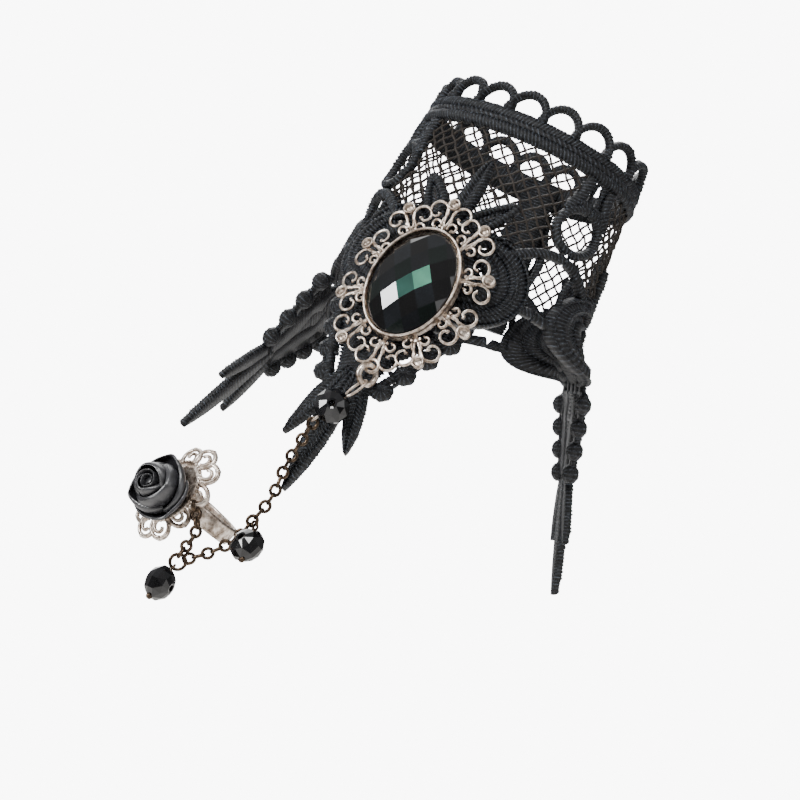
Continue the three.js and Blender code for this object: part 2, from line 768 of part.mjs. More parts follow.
const broochOut = outwardAt(brooch.across, brooch.down);
const broochUp = new THREE.Vector3(0, 0, -1)
  .projectOnPlane(broochOut).normalize()
  .applyAxisAngle(broochOut, brooch.turn);
const broochSide = new THREE.Vector3().crossVectors(broochUp, broochOut);
broochOut.applyAxisAngle(broochSide, -brooch.lift);
broochUp.applyAxisAngle(broochSide, -brooch.lift);
const broochFrameMatrix = frameOf(onWrist(brooch.across, brooch.down, brooch.out), broochSide, broochUp, broochOut);

// Beads, pins and chains

function ringPoints(centre, radiusA, radiusB, wayA, wayB, sides, from = 0, to = 2 * Math.PI) {
  const full = to - from > 2 * Math.PI - 0.01;
  const count = full ? sides : sides + 1;
  return Array.from({ length: count }, (_, i) => {
    const angle = from + ((to - from) * i) / sides;
    return centre.clone()
      .addScaledVector(wayA, radiusA * Math.cos(angle))
      .addScaledVector(wayB, radiusB * Math.sin(angle));
  });
}

// The jump ring hangs through the eyelet: its middle and the two ways of its plane, in the brooch's frame
function jumpRingFrame(tip) {
  const radius = (jumpRing.outer - jumpRing.wire) / 2;
  const way = new THREE.Vector3(tip.x, tip.y, 0).normalize();
  const across = new THREE.Vector3(-way.y, way.x, 0).applyAxisAngle(way, jumpRing.turn);
  const centre = new THREE.Vector3(tip.x, tip.y, brooch.sheet / 2).addScaledVector(way, radius);
  return { radius, way, across, centre };
}

function jumpRingGeometry(tip) {
  const { radius, way, across, centre } = jumpRingFrame(tip);
  return solidGeometry(wireSolid(ringPoints(centre, radius, radius, way, across, 14), jumpRing.wire, 6, true));
}

// Where the first pin rides on the jump ring
function jumpRingHook(tip) {
  const { radius, way, across, centre } = jumpRingFrame(tip);
  const point = centre.clone()
    .addScaledVector(way, radius * Math.cos(jumpRing.hook))
    .addScaledVector(across, radius * Math.sin(jumpRing.hook));
  const tangent = across.clone().multiplyScalar(Math.cos(jumpRing.hook))
    .addScaledVector(way, -Math.sin(jumpRing.hook));
  return { point, tangent };
}

function beadGeometry() {
  const half = bead.length / 2;
  const profile = [
    [bead.bore / 2, -half], [bead.diameter * 0.27, -half], [bead.diameter / 2, -half * 0.25],
    [bead.diameter / 2, half * 0.25], [bead.diameter * 0.27, half], [bead.bore / 2, half],
  ];
  const rings = [];
  for (let i = 0; i < bead.sides; i += 1) {
    const angle = (2 * Math.PI * i) / bead.sides;
    rings.push(profile.map(([radius, z]) => new THREE.Vector3(radius * Math.cos(angle), radius * Math.sin(angle), z)));
  }
  return skin(rings, true);
}

// A wire pin along z with its bead at the middle: an eye above, and an eye or a head below
function pinSolid(row) {
  const lift = bead.length / 2 + row.shaft;
  const top = lift + row.eyeHalf;
  const shaft = [new THREE.Vector3(0, 0, -bead.length / 2 - pin.shaft), new THREE.Vector3(0, 0, lift)];
  const solids = [wireSolid(shaft, pin.wire, 5)];
  const eye = (z, halfWidth, halfLength, side) => ringPoints(new THREE.Vector3(0, 0, z), halfWidth, halfLength,
    side, new THREE.Vector3(0, 0, 1), 10);
  solids.push(wireSolid(eye(top - 0.05, row.eyeHalfWidth, row.eyeHalf, new THREE.Vector3(1, 0, 0)), pin.wire, 5, true));
  if (row.lowerSide) {
    solids.push(wireSolid(eye(0.05 - bead.length / 2 - pin.shaft - pin.eyeHalf, pin.eyeHalf, pin.eyeHalf, row.lowerSide), pin.wire, 5, true));
  } else {
    solids.push(solidFrom(new THREE.SphereGeometry(pin.head / 2, 6, 4).translate(0, 0, -bead.length / 2 - 0.95)));
  }
  return joined(solids);
}

// A link with its long way, its side and its half sizes to the middle of the wire
function linkAt(centre, way, side, halfLength, halfWidth) {
  return { centre, way, side, halfLength, halfWidth };
}

function linkSolid(row) {
  const points = ringPoints(row.centre, row.halfLength, row.halfWidth, row.way, row.side, link.sides);
  return wireSolid(points, link.wire, link.wireSides, true);
}

// Links along a smooth route, each turned a quarter against the last and biting into it.
// The first link lies in the first side's plane, and the last one in the last side's where that is given.
function chainLinks(points, firstSide, lastSide = null) {
  const curve = new THREE.CatmullRomCurve3(points, false, 'centripetal');
  curve.arcLengthDivisions = 400;
  const pitch = link.length - 2 * link.wire;
  const count = Math.round(curve.getLength() / pitch) + 1;
  const spacing = curve.getLength() / (count - 1);
  const halfLength = (spacing + link.wire - link.bite) / 2;
  const facingSide = (way) => new THREE.Vector3(0, -1, 0).projectOnPlane(way).normalize();
  const turnOf = (side, way) => {
    const zero = facingSide(way);
    return Math.atan2(side.dot(new THREE.Vector3().crossVectors(way, zero)), side.dot(zero));
  };
  const firstTurn = turnOf(firstSide, curve.getTangentAt(0));
  const quarters = ((count - 1) * Math.PI) / 2;
  const excess = lastSide ? turnOf(lastSide, curve.getTangentAt(1)) - firstTurn - quarters : 0;
  const twist = excess - Math.PI * Math.round(excess / Math.PI);
  return Array.from({ length: count }, (_, i) => {
    const share = i / (count - 1);
    const way = curve.getTangentAt(share);
    const side = facingSide(way).applyAxisAngle(way, firstTurn + (i * Math.PI) / 2 + twist * share);
    return linkAt(curve.getPointAt(share), way, side, halfLength, (link.width - link.wire) / 2);
  });
}


// The finger ring

// One loop of the lace rim: its middle and the radius to the middle of its wire
function petalFrame(index) {
  const radius = (ring.petalDiameter - ring.petalWire) / 2;
  const inset = radius + ring.petalWire / 2;
  const angle = (2 * Math.PI * index) / ring.petals;
  const centre = new THREE.Vector3(
    (ring.baseLength / 2 - inset) * Math.cos(angle),
    (ring.baseWidth / 2 - inset) * Math.sin(angle),
    0,
  );
  return { centre, radius };
}

// The rim droops towards the finger
function drooped(x, y, z) {
  const reach = Math.hypot(x / (ring.baseLength / 2), y / (ring.baseWidth / 2));
  return new THREE.Vector3(x, y, z - ring.droop * Math.max(reach - 0.5, 0) ** 1.4 * 2);
}

function ringBase() {
  const solids = [];
  const plate = closedArc(0, 0, ring.plateLength / 2, ring.plateWidth / 2, 16);
  solids.push(slab(plate, 0, ring.sheet));
  for (let i = 0; i < ring.petals; i += 1) {
    const { centre, radius } = petalFrame(i);
    const raise = 0.05 * (i % 2);
    solids.push(padded(closedArc(centre.x, centre.y, radius, radius, 8), ring.petalWire / 2, 0.05 + raise, ring.sheet + raise, 0, true));
  }
  const base = solidFrom(bent(joined(solids), drooped, 100));
  const radius = (ring.bore + ring.shankThickness) / 2;
  const shankPath = ringPoints(new THREE.Vector3(0, 0, -radius + 0.25), radius, radius,
    new THREE.Vector3(0, 1, 0), new THREE.Vector3(0, 0, 1), 18);
  const rings = shankPath.map((point) => {
    const out = point.clone().setZ(point.z + radius - 0.25).normalize();
    const corner = (side, proud) => point.clone().addScaledVector(out, proud).setX(side);
    const half = ring.shankThickness / 2;
    const wide = ring.shankWidth / 2;
    return [corner(-wide, -half), corner(wide, -half), corner(wide, half), corner(-wide, half)];
  });
  return solidGeometry(base.add(solidFrom(skin(rings, true))));
}

function roseGeometry() {
  const solids = [];
  const base = ring.sheet + clearance;
  const heart = new THREE.CylinderGeometry(rose.budRadius * 0.9, rose.budRadius * 1.15, rose.height * 0.8, 10);
  solids.push(solidFrom(heart.rotateX(Math.PI / 2).translate(0, 0, base + rose.height * 0.4)));
  for (let i = 0; i < rose.petals; i += 1) {
    const share = i / (rose.petals - 1);
    const radius = rose.budRadius * (1.0 + rose.spread * share);
    const top = base + rose.height * (1 - 0.55 * share * share);
    const turn = i * 137.5 * degrees;
    const rings = [];
    for (let j = -2; j <= 2; j += 1) {
      const angle = turn + (j / 2) * 70 * degrees;
      const dip = 1 - 0.28 * (j / 2) ** 2;
      const at = (r, z) => new THREE.Vector3(r * Math.cos(angle), r * Math.sin(angle), z);
      const thick = rose.petalThickness;
      rings.push([
        at(radius * 0.55, base + 0.02 * i),
        at(radius * 1.0, base + 0.02 * i),
        at(radius * 1.12, base + (top - base) * 0.55),
        at(radius * 1.1, base + (top - base) * dip),
        at(radius * 1.1 - thick, base + (top - base) * dip),
        at(radius * 0.95 - thick, base + (top - base) * 0.4),
      ]);
    }
    solids.push(solidFrom(skin(rings)));
  }
  return solidGeometry(joined(solids));
}

// The assembly

const cuff = new THREE.Group();

function addPiece(parent, name, geometry, material) {
  const mesh = new THREE.Mesh(geometry, material);
  mesh.name = name;
  parent.add(mesh);
  return mesh;
}

function groupIn(parent, matrix) {
  const group = new THREE.Group();
  group.applyMatrix4(matrix);
  parent.add(group);
  return group;
}

const worn = groupIn(cuff, wristFrame);
addPiece(worn, 'lace_border', laceBorder(), materials.lace);
const panelFlat = lacePanelFlat();
const dropPattern = dropFlat();
drops.forEach((drop) => {
  addPiece(worn, `lace_panel_${drop.name}`, bent(panelFlat, onRepeat(drop), lace.bendStep), materials.lace);
  addPiece(worn, `lace_drop_${drop.name}`, bent(dropPattern, onRepeat(drop), lace.bendStep), materials.lace);
});
addPiece(worn, 'clasp', claspGeometry(), materials.tape);

const broochGroup = groupIn(worn, broochFrameMatrix);
const frame = broochFrame();
addPiece(broochGroup, 'brooch_frame', frame.geometry, materials.silver);
addPiece(broochGroup, 'brooch_stone', stoneGeometry(), materials.glass);
addPiece(broochGroup, 'jump_ring', jumpRingGeometry(frame.tip), materials.silver);

worn.updateMatrixWorld(true);
const toPart = broochGroup.matrixWorld;
const hooked = jumpRingHook(frame.tip);
const firstHook = hooked.point.applyMatrix4(toPart);
const firstTangent = hooked.tangent.transformDirection(toPart);

// Where a pin hangs from a wire: its bead's middle, and its ways, with its upper eye across the wire's run
function pinFrame(hook, tangent, beadPlace, row) {
  const up = new THREE.Vector3().subVectors(hook, beadPlace).normalize();
  const face = tangent.clone().projectOnPlane(up).normalize();
  const side = new THREE.Vector3().crossVectors(face, up);
  const reach = bead.length / 2 + row.shaft + row.eyeHalf + row.rise - 0.05;
  return { middle: hook.clone().addScaledVector(up, -reach), side, face, up };
}

function hangPin(name, place, row) {
  const group = groupIn(cuff, frameOf(place.middle, place.side, place.face, place.up));
  addPiece(group, `bead_${name}`, beadGeometry(), materials.glass);
  addPiece(group, `pin_${name}`, solidGeometry(pinSolid(row)), materials.gunmetal);
}

const longEye = { eyeHalf: pin.longEyeHalf, eyeHalfWidth: pin.longEyeHalfWidth, rise: pin.longEyeHalf - 1.25, shaft: pin.shaft };
const roundEye = { eyeHalf: pin.eyeHalf, eyeHalfWidth: pin.eyeHalf, rise: 0.05, shaft: pin.shaft };
const first = pinFrame(firstHook, firstTangent, beadPlaces.first, longEye);
const lowerEye = first.middle.clone().addScaledVector(first.up, -(bead.length / 2 + pin.shaft + pin.eyeHalf - 0.05));

const longPoints = chainRoute.long.map((point) => new THREE.Vector3(...point));
const leaving = longPoints[0].clone().sub(lowerEye).normalize();
longPoints.unshift(lowerEye.clone().addScaledVector(leaving, link.length / 2 - link.wire * 0.75));
const longLinks = chainLinks(longPoints, new THREE.Vector3(0, -1, 0).cross(leaving).normalize());
const lastLink = longLinks[longLinks.length - 1];
const junctionReach = lastLink.halfLength + link.junction - link.wire + link.bite;
const junctionSide = new THREE.Vector3(0, -1, 0).projectOnPlane(lastLink.way).cross(lastLink.way).normalize();
const junction = linkAt(
  lastLink.centre.clone().addScaledVector(lastLink.way, junctionReach),
  lastLink.way, junctionSide, link.junction, link.junction,
);
longLinks.push(junction);
addPiece(cuff, 'chain_long', solidGeometry(joined(longLinks.map(linkSolid))), materials.gunmetal);

// The first pin's lower eye lies across the plane of the first link
const lowerWay = new THREE.Vector3().crossVectors(longLinks[0].side, first.up).normalize();
const lowerSide = new THREE.Vector3(lowerWay.dot(first.side), lowerWay.dot(first.face), 0).normalize();
hangPin('1', first, { ...longEye, lowerSide });

// The point of a link's wire that faces a place, and the run of the wire there
function hookToward(row, place) {
  const toward = place.clone().sub(row.centre);
  const angle = Math.atan2(toward.dot(row.side), toward.dot(row.way));
  const point = row.centre.clone()
    .addScaledVector(row.way, row.halfLength * Math.cos(angle))
    .addScaledVector(row.side, row.halfWidth * Math.sin(angle));
  const tangent = row.side.clone().multiplyScalar(row.halfWidth * Math.cos(angle))
    .addScaledVector(row.way, -row.halfLength * Math.sin(angle)).normalize();
  return { point, tangent };
}

const carrier = longLinks[beadPlaces.carrierLink];
const carrierHook = hookToward(carrier, carrier.centre.clone()
  .addScaledVector(carrier.side, beadPlaces.carrierSide)
  .addScaledVector(carrier.way, beadPlaces.carrierShift));
const secondRow = { ...roundEye, shaft: pin.longShaft };
hangPin('2', pinFrame(carrierHook.point, carrierHook.tangent, beadPlaces.second, secondRow), secondRow);
const junctionHook = hookToward(junction, beadPlaces.third);
hangPin('3', pinFrame(junctionHook.point, junctionHook.tangent, beadPlaces.third, roundEye), roundEye);

const ringFace = ring.face.clone().projectOnPlane(ring.axis).normalize();
const ringAxis = ring.axis.clone().normalize();
const ringSide = new THREE.Vector3().crossVectors(ringFace, ringAxis);
const ringGroup = groupIn(cuff, frameOf(ring.basePlace, ringAxis, ringSide, ringFace));
addPiece(ringGroup, 'ring_base', ringBase(), materials.silver);
const roseGroup = groupIn(ringGroup, new THREE.Matrix4().makeTranslation(...rose.offset));
addPiece(roseGroup, 'ring_rose', roseGeometry(), materials.satin);

// The short chain runs from the junction to a loop of the ring's lace rim
ringGroup.updateMatrixWorld(true);
const loop = petalFrame(ring.hookPetal);
const loopHook = {
  point: loop.centre.clone().add(new THREE.Vector3(Math.cos(ring.hookAngle), Math.sin(ring.hookAngle), 0).multiplyScalar(loop.radius)),
  tangent: new THREE.Vector3(-Math.sin(ring.hookAngle), Math.cos(ring.hookAngle), 0),
};
const loopPoint = drooped(loopHook.point.x, loopHook.point.y, ring.sheet / 2).applyMatrix4(ringGroup.matrixWorld);
const loopTangent = loopHook.tangent.transformDirection(ringGroup.matrixWorld);
const upperHook = hookToward(junction, loopPoint);
const middlePlace = upperHook.point.clone().lerp(loopPoint, 0.5).add(new THREE.Vector3(...chainRoute.shortSag));
const leavingJunction = middlePlace.clone().sub(upperHook.point).normalize();
const meetingLoop = loopPoint.clone().sub(middlePlace).normalize();
const shortPoints = [
  upperHook.point.clone().addScaledVector(leavingJunction, link.free),
  middlePlace,
  loopPoint.clone().addScaledVector(meetingLoop, -link.loopFree),
];
const shortLinks = chainLinks(
  shortPoints,
  new THREE.Vector3().crossVectors(leavingJunction, upperHook.tangent),
  new THREE.Vector3().crossVectors(meetingLoop, loopTangent),
);
addPiece(cuff, 'chain_short', solidGeometry(joined(shortLinks.map(linkSolid))), materials.gunmetal);

export default cuff;
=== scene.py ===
# Lace wrist cuff with an oval filigree brooch, a beaded chain and a ribbon-rose finger ring.
# Sizes are in millimetres until a mesh is made. The lace is drawn flat and then bent round its oval opening.
import itertools
import json
import math

import bmesh
import bpy
import numpy as np
from mathutils import Matrix, Vector

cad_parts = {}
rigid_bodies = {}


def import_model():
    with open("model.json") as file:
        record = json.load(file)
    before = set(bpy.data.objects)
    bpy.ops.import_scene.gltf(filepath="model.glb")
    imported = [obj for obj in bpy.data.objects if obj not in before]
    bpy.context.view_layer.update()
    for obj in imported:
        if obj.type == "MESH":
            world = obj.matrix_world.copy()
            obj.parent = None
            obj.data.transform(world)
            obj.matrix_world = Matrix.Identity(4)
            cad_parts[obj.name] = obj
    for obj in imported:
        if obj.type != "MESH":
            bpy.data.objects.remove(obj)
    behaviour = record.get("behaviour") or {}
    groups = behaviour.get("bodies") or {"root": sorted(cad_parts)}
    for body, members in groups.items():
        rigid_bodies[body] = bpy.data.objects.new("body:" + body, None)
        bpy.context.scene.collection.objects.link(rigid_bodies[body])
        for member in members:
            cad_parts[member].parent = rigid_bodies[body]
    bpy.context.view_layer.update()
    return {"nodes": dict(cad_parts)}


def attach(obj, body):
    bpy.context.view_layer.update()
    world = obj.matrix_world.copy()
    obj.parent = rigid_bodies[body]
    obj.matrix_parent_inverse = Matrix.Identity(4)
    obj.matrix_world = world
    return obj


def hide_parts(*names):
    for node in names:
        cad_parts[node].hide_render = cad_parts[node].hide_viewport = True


for leftover in list(bpy.data.objects):
    bpy.data.objects.remove(leftover)

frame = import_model()
millimetre = 0.001
degrees = math.pi / 180


# Finishes

def linearColour(hexCode):
    channels = [int(hexCode[i:i + 2], 16) / 255 for i in (1, 3, 5)]
    return [c / 12.92 if c <= 0.04045 else ((c + 0.055) / 1.055) ** 2.4 for c in channels] + [1.0]


# Sets or links the inputs of a node. Another node given as a value stands for its first output.
def feed(tree, node, inputs):
    for name, value in inputs.items():
        if isinstance(value, bpy.types.Node):
            value = value.outputs[0]
        if isinstance(value, bpy.types.NodeSocket):
            tree.links.new(value, node.inputs[name])
        else:
            node.inputs[name].default_value = value


# A node with its inputs and settings, and for a colour ramp its stops of position and colour
def addNode(tree, kind, inputs=None, stops=(), **settings):
    node = tree.nodes.new(kind)
    for name, value in settings.items():
        setattr(node, name, value)
    feed(tree, node, inputs or {})
    for i, (position, hexCode) in enumerate(stops):
        elements = node.color_ramp.elements
        element = elements[i] if i < 2 else elements.new(position)
        element.position = position
        element.color = linearColour(hexCode)
    return node


def newFinish(name, shaderInputs):
    material = bpy.data.materials.new(name)
    material.use_nodes = True
    tree = material.node_tree
    feed(tree, tree.nodes["Principled BSDF"], shaderInputs(tree))
    return material


# Mottling in the piece's own coordinates, which tints the surface and raises it a little
def mottled(tree, noise, stops, bump):
    place = addNode(tree, "ShaderNodeTexCoord")
    blotches = addNode(tree, "ShaderNodeTexNoise", {"Vector": place.outputs["Object"], **noise})
    colour = addNode(tree, "ShaderNodeValToRGB", {"Fac": blotches}, stops)
    raised = addNode(tree, "ShaderNodeBump", {"Height": blotches, **bump})
    return {"Base Color": colour, "Normal": raised}


# Polyester embroidery thread in satin stitch: near black, a painted blue-grey highlight on each stitch crest
def embroideryInputs(tree):
    along = addNode(tree, "ShaderNodeUVMap", uv_map="stitch")
    # filaments run across the cord, a few to each stitch
    stretched = addNode(tree, "ShaderNodeMapping", {"Vector": along, "Scale": (2.6, 1.9, 1.0)})
    filaments = addNode(tree, "ShaderNodeTexNoise", {
        "Vector": stretched, "Scale": 1.0, "Detail": 4.0, "Roughness": 0.8,
    })
    # one crest to each whole number of stitches along the cord
    split = addNode(tree, "ShaderNodeSeparateXYZ", {"Vector": along})
    turns = addNode(tree, "ShaderNodeMath", {0: split, 1: 2 * math.pi}, operation="MULTIPLY")
    crest = addNode(tree, "ShaderNodeMath", {0: turns}, operation="COSINE")
    mixed = addNode(tree, "ShaderNodeMath", {0: crest, 1: 0.13, 2: filaments}, operation="MULTIPLY_ADD")
    # the ramp paints a highlight on each stitch crest and shade in each valley, over the filaments' own tone
    colour = addNode(tree, "ShaderNodeValToRGB", {"Fac": mixed}, [
        (0.34, "#020203"), (0.5, "#090a0c"), (0.62, "#1d2025"), (0.76, "#565d67"),
    ])
    bump = addNode(tree, "ShaderNodeBump", {"Strength": 1.0, "Distance": 0.00025, "Height": mixed})
    return {
        "Roughness": 0.44, "Specular IOR Level": 0.3, "Sheen Weight": 0.04, "Sheen Roughness": 0.4,
        "Sheen Tint": linearColour("#7f8894"), "Base Color": colour, "Normal": bump,
    }


# Twisted net thread: browner and duller than the satin stitch, with a fine twist
def netInputs(tree):
    looks = mottled(tree, {"Scale": 2600.0, "Detail": 2.0}, [(0.3, "#100c09"), (0.75, "#2c241d")],
                    {"Strength": 0.4, "Distance": 0.0001})
    return {"Roughness": 0.62, "Specular IOR Level": 0.35, **looks}


# Cast zinc alloy, silver plated and antiqued: warm bright silver with brown tarnish in random patches
def silverInputs(tree):
    place = addNode(tree, "ShaderNodeTexCoord")
    patches = addNode(tree, "ShaderNodeTexNoise", {
        "Vector": place.outputs["Object"], "Scale": 650.0, "Detail": 4.0, "Roughness": 0.65,
    })
    colour = addNode(tree, "ShaderNodeValToRGB", {"Fac": patches}, [
        (0.3, "#54483d"), (0.44, "#a09184"), (0.58, "#d8ccc0"), (0.78, "#f4ece3"),
    ])
    grain = addNode(tree, "ShaderNodeTexNoise", {
        "Vector": place.outputs["Object"], "Scale": 3500.0, "Detail": 2.0,
    })
    rough = addNode(tree, "ShaderNodeMapRange", {
        "Value": patches, "From Min": 0.3, "From Max": 0.7, "To Min": 0.46, "To Max": 0.24,
    })
    bump = addNode(tree, "ShaderNodeBump", {"Strength": 0.25, "Distance": 0.00006, "Height": grain})
    return {"Metallic": 1.0, "Roughness": rough, "Base Color": colour, "Normal": bump}


# Gunmetal-plated steel wire: dark bronze brown, a little brighter in random patches
def gunmetalInputs(tree):
    stops = [(0.35, "#2a231d"), (0.6, "#57493c"), (0.8, "#8a7866")]
    looks = mottled(tree, {"Scale": 900.0, "Detail": 3.0}, stops, {"Strength": 0.2, "Distance": 0.00005})
    return {"Metallic": 1.0, "Roughness": 0.36, **looks}


# Machine-cut black glass: mirror-smooth flats with a dark tint per facet, and three painted reflections
def glassInputs(tree):
    foil = addNode(tree, "ShaderNodeVertexColor", layer_name="foil")
    place = addNode(tree, "ShaderNodeTexCoord")
    depth = addNode(tree, "ShaderNodeTexNoise", {
        "Vector": place.outputs["Object"], "Scale": 160.0, "Detail": 1.0,
    })
    shade = addNode(tree, "ShaderNodeValToRGB", {"Fac": depth}, [(0.3, "#b4b4b4"), (0.7, "#ffffff")])
    # inputs 6 and 7 of the mix are its colours, and output 2 is the colour that it makes
    tinted = addNode(tree, "ShaderNodeMix", {"Factor": 1.0, 6: foil, 7: shade},
                     data_type="RGBA", blend_type="MULTIPLY")
    return {"Roughness": 0.05, "IOR": 1.52, "Specular IOR Level": 0.5, "Base Color": tinted.outputs[2]}


# Polyester satin ribbon: charcoal with long soft highlights across the weave
def satinInputs(tree):
    along = addNode(tree, "ShaderNodeUVMap", uv_map="stitch")
    # weft threads 0.2 mm apart
    weave = addNode(tree, "ShaderNodeTexWave", {
        "Vector": along, "Scale": 1.6, "Distortion": 0.6, "Detail": 1.0,
    }, bands_direction="Y")
    clouds = addNode(tree, "ShaderNodeTexNoise", {"Vector": along, "Scale": 0.5, "Detail": 3.0})
    colour = addNode(tree, "ShaderNodeValToRGB", {"Fac": clouds}, [(0.3, "#151517"), (0.7, "#303034")])
    bump = addNode(tree, "ShaderNodeBump", {
        "Strength": 0.25, "Distance": 0.00006, "Height": weave.outputs["Fac"],
    })
    return {
        "Roughness": 0.34, "Specular IOR Level": 0.9, "Sheen Weight": 0.15, "Sheen Roughness": 0.3,
        "Sheen Tint": linearColour("#b9bcc4"), "Base Color": colour, "Normal": bump,
    }


# Matt studio card, faintly warm
def cardInputs(tree):
    place = addNode(tree, "ShaderNodeTexCoord")
    tooth = addNode(tree, "ShaderNodeTexNoise", {"Vector": place.outputs["Object"], "Scale": 40.0})
    colour = addNode(tree, "ShaderNodeValToRGB", {"Fac": tooth}, [(0.3, "#f3f0ec"), (0.7, "#f7f5f2")])
    return {"Roughness": 0.9, "Base Color": colour}


embroideryThread = newFinish("embroidery thread", embroideryInputs)
netThread = newFinish("net thread", netInputs)
antiqueSilver = newFinish("antique silver plate", silverInputs)
gunmetalWire = newFinish("gunmetal wire", gunmetalInputs)
cutGlass = newFinish("cut black glass", glassInputs)
satinRibbon = newFinish("satin ribbon", satinInputs)
studioCard = newFinish("studio card", cardInputs)
print("finishes made")


# Meshes

def linked(name, data):
    holder = bpy.data.objects.new(name, data)
    bpy.context.scene.collection.objects.link(holder)
    return holder


# The mesh of an object with its modifiers applied, after which the object goes
def appliedMesh(carrier):
    bpy.context.view_layer.update()
    graph = bpy.context.evaluated_depsgraph_get()
    result = bpy.data.meshes.new_from_object(carrier.evaluated_get(graph))
    bpy.data.objects.remove(carrier)
    return result


# A smooth mesh from points in millimetres
def builtMesh(name, points, faces, material):
    mesh = bpy.data.meshes.new(name)
    mesh.from_pydata((np.array(points, float) * millimetre).tolist(), [], faces)
    mesh.polygons.foreach_set("use_smooth", np.ones(len(mesh.polygons), bool))
    mesh.materials.append(material)
    return mesh


# Where each point lies among the stitches, as texture coordinates
def addStitches(mesh, stitch):
    layer = mesh.uv_layers.new(name="stitch")
    corners = np.zeros(len(mesh.loops), int)
    mesh.loops.foreach_get("vertex_index", corners)
    layer.data.foreach_set("uv", np.array(stitch, float)[corners].astype(np.float32).ravel())


# Faces between rows of points. Round rows end where they start, and a round row joins its own ends.
def rowFaces(rows, count, roundRows=True, roundEnds=True, base=0):
    faces = []
    for i in range(rows if roundRows else rows - 1):
        here, there = base + i * count, base + (i + 1) % rows * count
        for j in range(count if roundEnds else count - 1):
            after = (j + 1) % count
            faces.append((here + j, there + j, there + after, here + after))
    return faces


# A section swept once round, from a function that gives its points at each turn
def sweptMesh(name, steps, section, material, roundEnds=True):
    rows = [section(2 * math.pi * i / steps) for i in range(steps)]
    points = [point for row in rows for point in row]
    return builtMesh(name, points, rowFaces(steps, len(rows[0]), roundEnds=roundEnds), material)


# Merges points that lie closer than a length in metres, and turns faces outward
def cleaned(source, target, merge=0.0, outward=True):
    work = bmesh.new()
    work.from_mesh(source)
    if merge:
        bmesh.ops.remove_doubles(work, verts=work.verts, dist=merge)
    if outward:
        bmesh.ops.recalc_face_normals(work, faces=work.faces)
    work.to_mesh(target)
    work.free()
    return target


def addSmoothing(carrier, levels):
    soft = carrier.modifiers.new("soft", "SUBSURF")
    soft.levels = levels
    soft.render_levels = levels


def fullTurn(steps):
    return np.linspace(0, 2 * math.pi, steps, endpoint=False)


def polar(radius, angle):
    return np.array([radius * math.cos(angle), radius * math.sin(angle)])


# The oval opening that the lace is bent round

wrist = {
    "halfWidth": 24.75, "lowHalfWidth": 27.75, "flareLength": 65.0, "flatness": 0.8,
    "rise": 62.9, "tilt": 12.0, "roll": 20.0, "ovalSteps": 720,
}
lace = {
    "repeats": 3, "sizingLevel": 11.3, "lean": 0.085, "leanStart": 6.0, "middle": 0.9,
    "stitchPitch": 0.86, "slant": 0.55, "relief": 0.17, "jitter": 0.75, "seed": 7, "ridgeSwell": 0.05,
    "thinnedShare": 0.45, "lookAhead": 0.05, "curveSteps": 12,
}


def halfWidthAt(down):
    share = 1 - (1 - down / wrist["flareLength"]) ** 2
    return wrist["halfWidth"] + (wrist["lowHalfWidth"] - wrist["halfWidth"]) * share


ovalAngles = np.linspace(0, 2 * math.pi, wrist["ovalSteps"] + 1)
middleAngles = (ovalAngles[1:] + ovalAngles[:-1]) / 2
arcShares = np.hypot(np.cos(middleAngles), wrist["flatness"] * np.sin(middleAngles))
arcSteps = arcShares * 2 * math.pi / wrist["ovalSteps"]
arcLengths = np.concatenate([[0.0], np.cumsum(arcSteps)])
repeatWidth = arcLengths[-1] * halfWidthAt(lace["sizingLevel"]) / lace["repeats"]
midline = repeatWidth / 2


# Points of the lace (across, down, out) in the cuff's own frame: x across, y out of its front, z down it
def onWrist(flat):
    across, down, out = flat[:, 0], flat[:, 1], flat[:, 2]
    turns = (across - lace["lean"] * (down - lace["leanStart"])) / (lace["repeats"] * repeatWidth)
    whole = np.floor(turns)
    angle = np.interp((turns - whole) * arcLengths[-1], arcLengths, ovalAngles)
    wide = halfWidthAt(down)
    deep = wrist["flatness"] * wide
    normal = np.stack([np.sin(angle) / wide, np.cos(angle) / deep], axis=1)
    normal /= np.linalg.norm(normal, axis=1)[:, None]
    return np.stack([
        wide * np.sin(angle) + out * normal[:, 0],
        deep * np.cos(angle) + out * normal[:, 1],
        down,
    ], axis=1)


def wristBasis():
    rise, tilt = wrist["rise"] * degrees, wrist["tilt"] * degrees
    upward = Vector((math.cos(rise) * math.cos(tilt), math.sin(tilt), math.sin(rise) * math.cos(tilt)))
    facing = Vector((0, -1, 0))
    facing = (facing - upward * facing.dot(upward)).normalized()
    turn = Matrix.Rotation(-wrist["roll"] * degrees, 3, upward)
    wideWay = turn @ upward.cross(facing)
    deepWay = turn @ facing
    return np.array([wideWay, deepWay, -upward])


basis = wristBasis()


def smoothstep(values, low, high):
    share = np.clip((values - low) / (high - low), 0, 1)
    return share * share * (3 - 2 * share)


dropSize = {
    "start": 46.0, "gap": 0.3, "topHalfWidth": 14.0, "neckLevel": 67.0, "neckHalfWidth": 4.6,
    "ballPitch": 5.2, "balls": 4, "ballDiameter": 4.5, "leafLength": 26.0, "sideLeafLength": 16.0,
    "sideLeafSpread": 7.5,
}

# Which repeat, the level where its lace leaves the oval, and the start, fall and width's way of its drop
laceRepeats = {
    "front": {"repeat": 0, "leaves": 90.0, "start": (0, 0, 0), "fall": (0, 0, -1), "spread": (1, 0, 0)},
    "right": {
        "repeat": 1, "leaves": 24.0, "start": (10.4, 1, -49.1), "fall": (-0.1, 0, -0.99),
        "spread": (-0.12, 0.99, 0),
    },
    "left": {
        "repeat": -1, "leaves": 27.0, "start": (-43.6, 12, -29.7), "fall": (-0.7, -0.38, -0.6),
        "spread": (-0.05, -0.9, 0.42),
    },
}


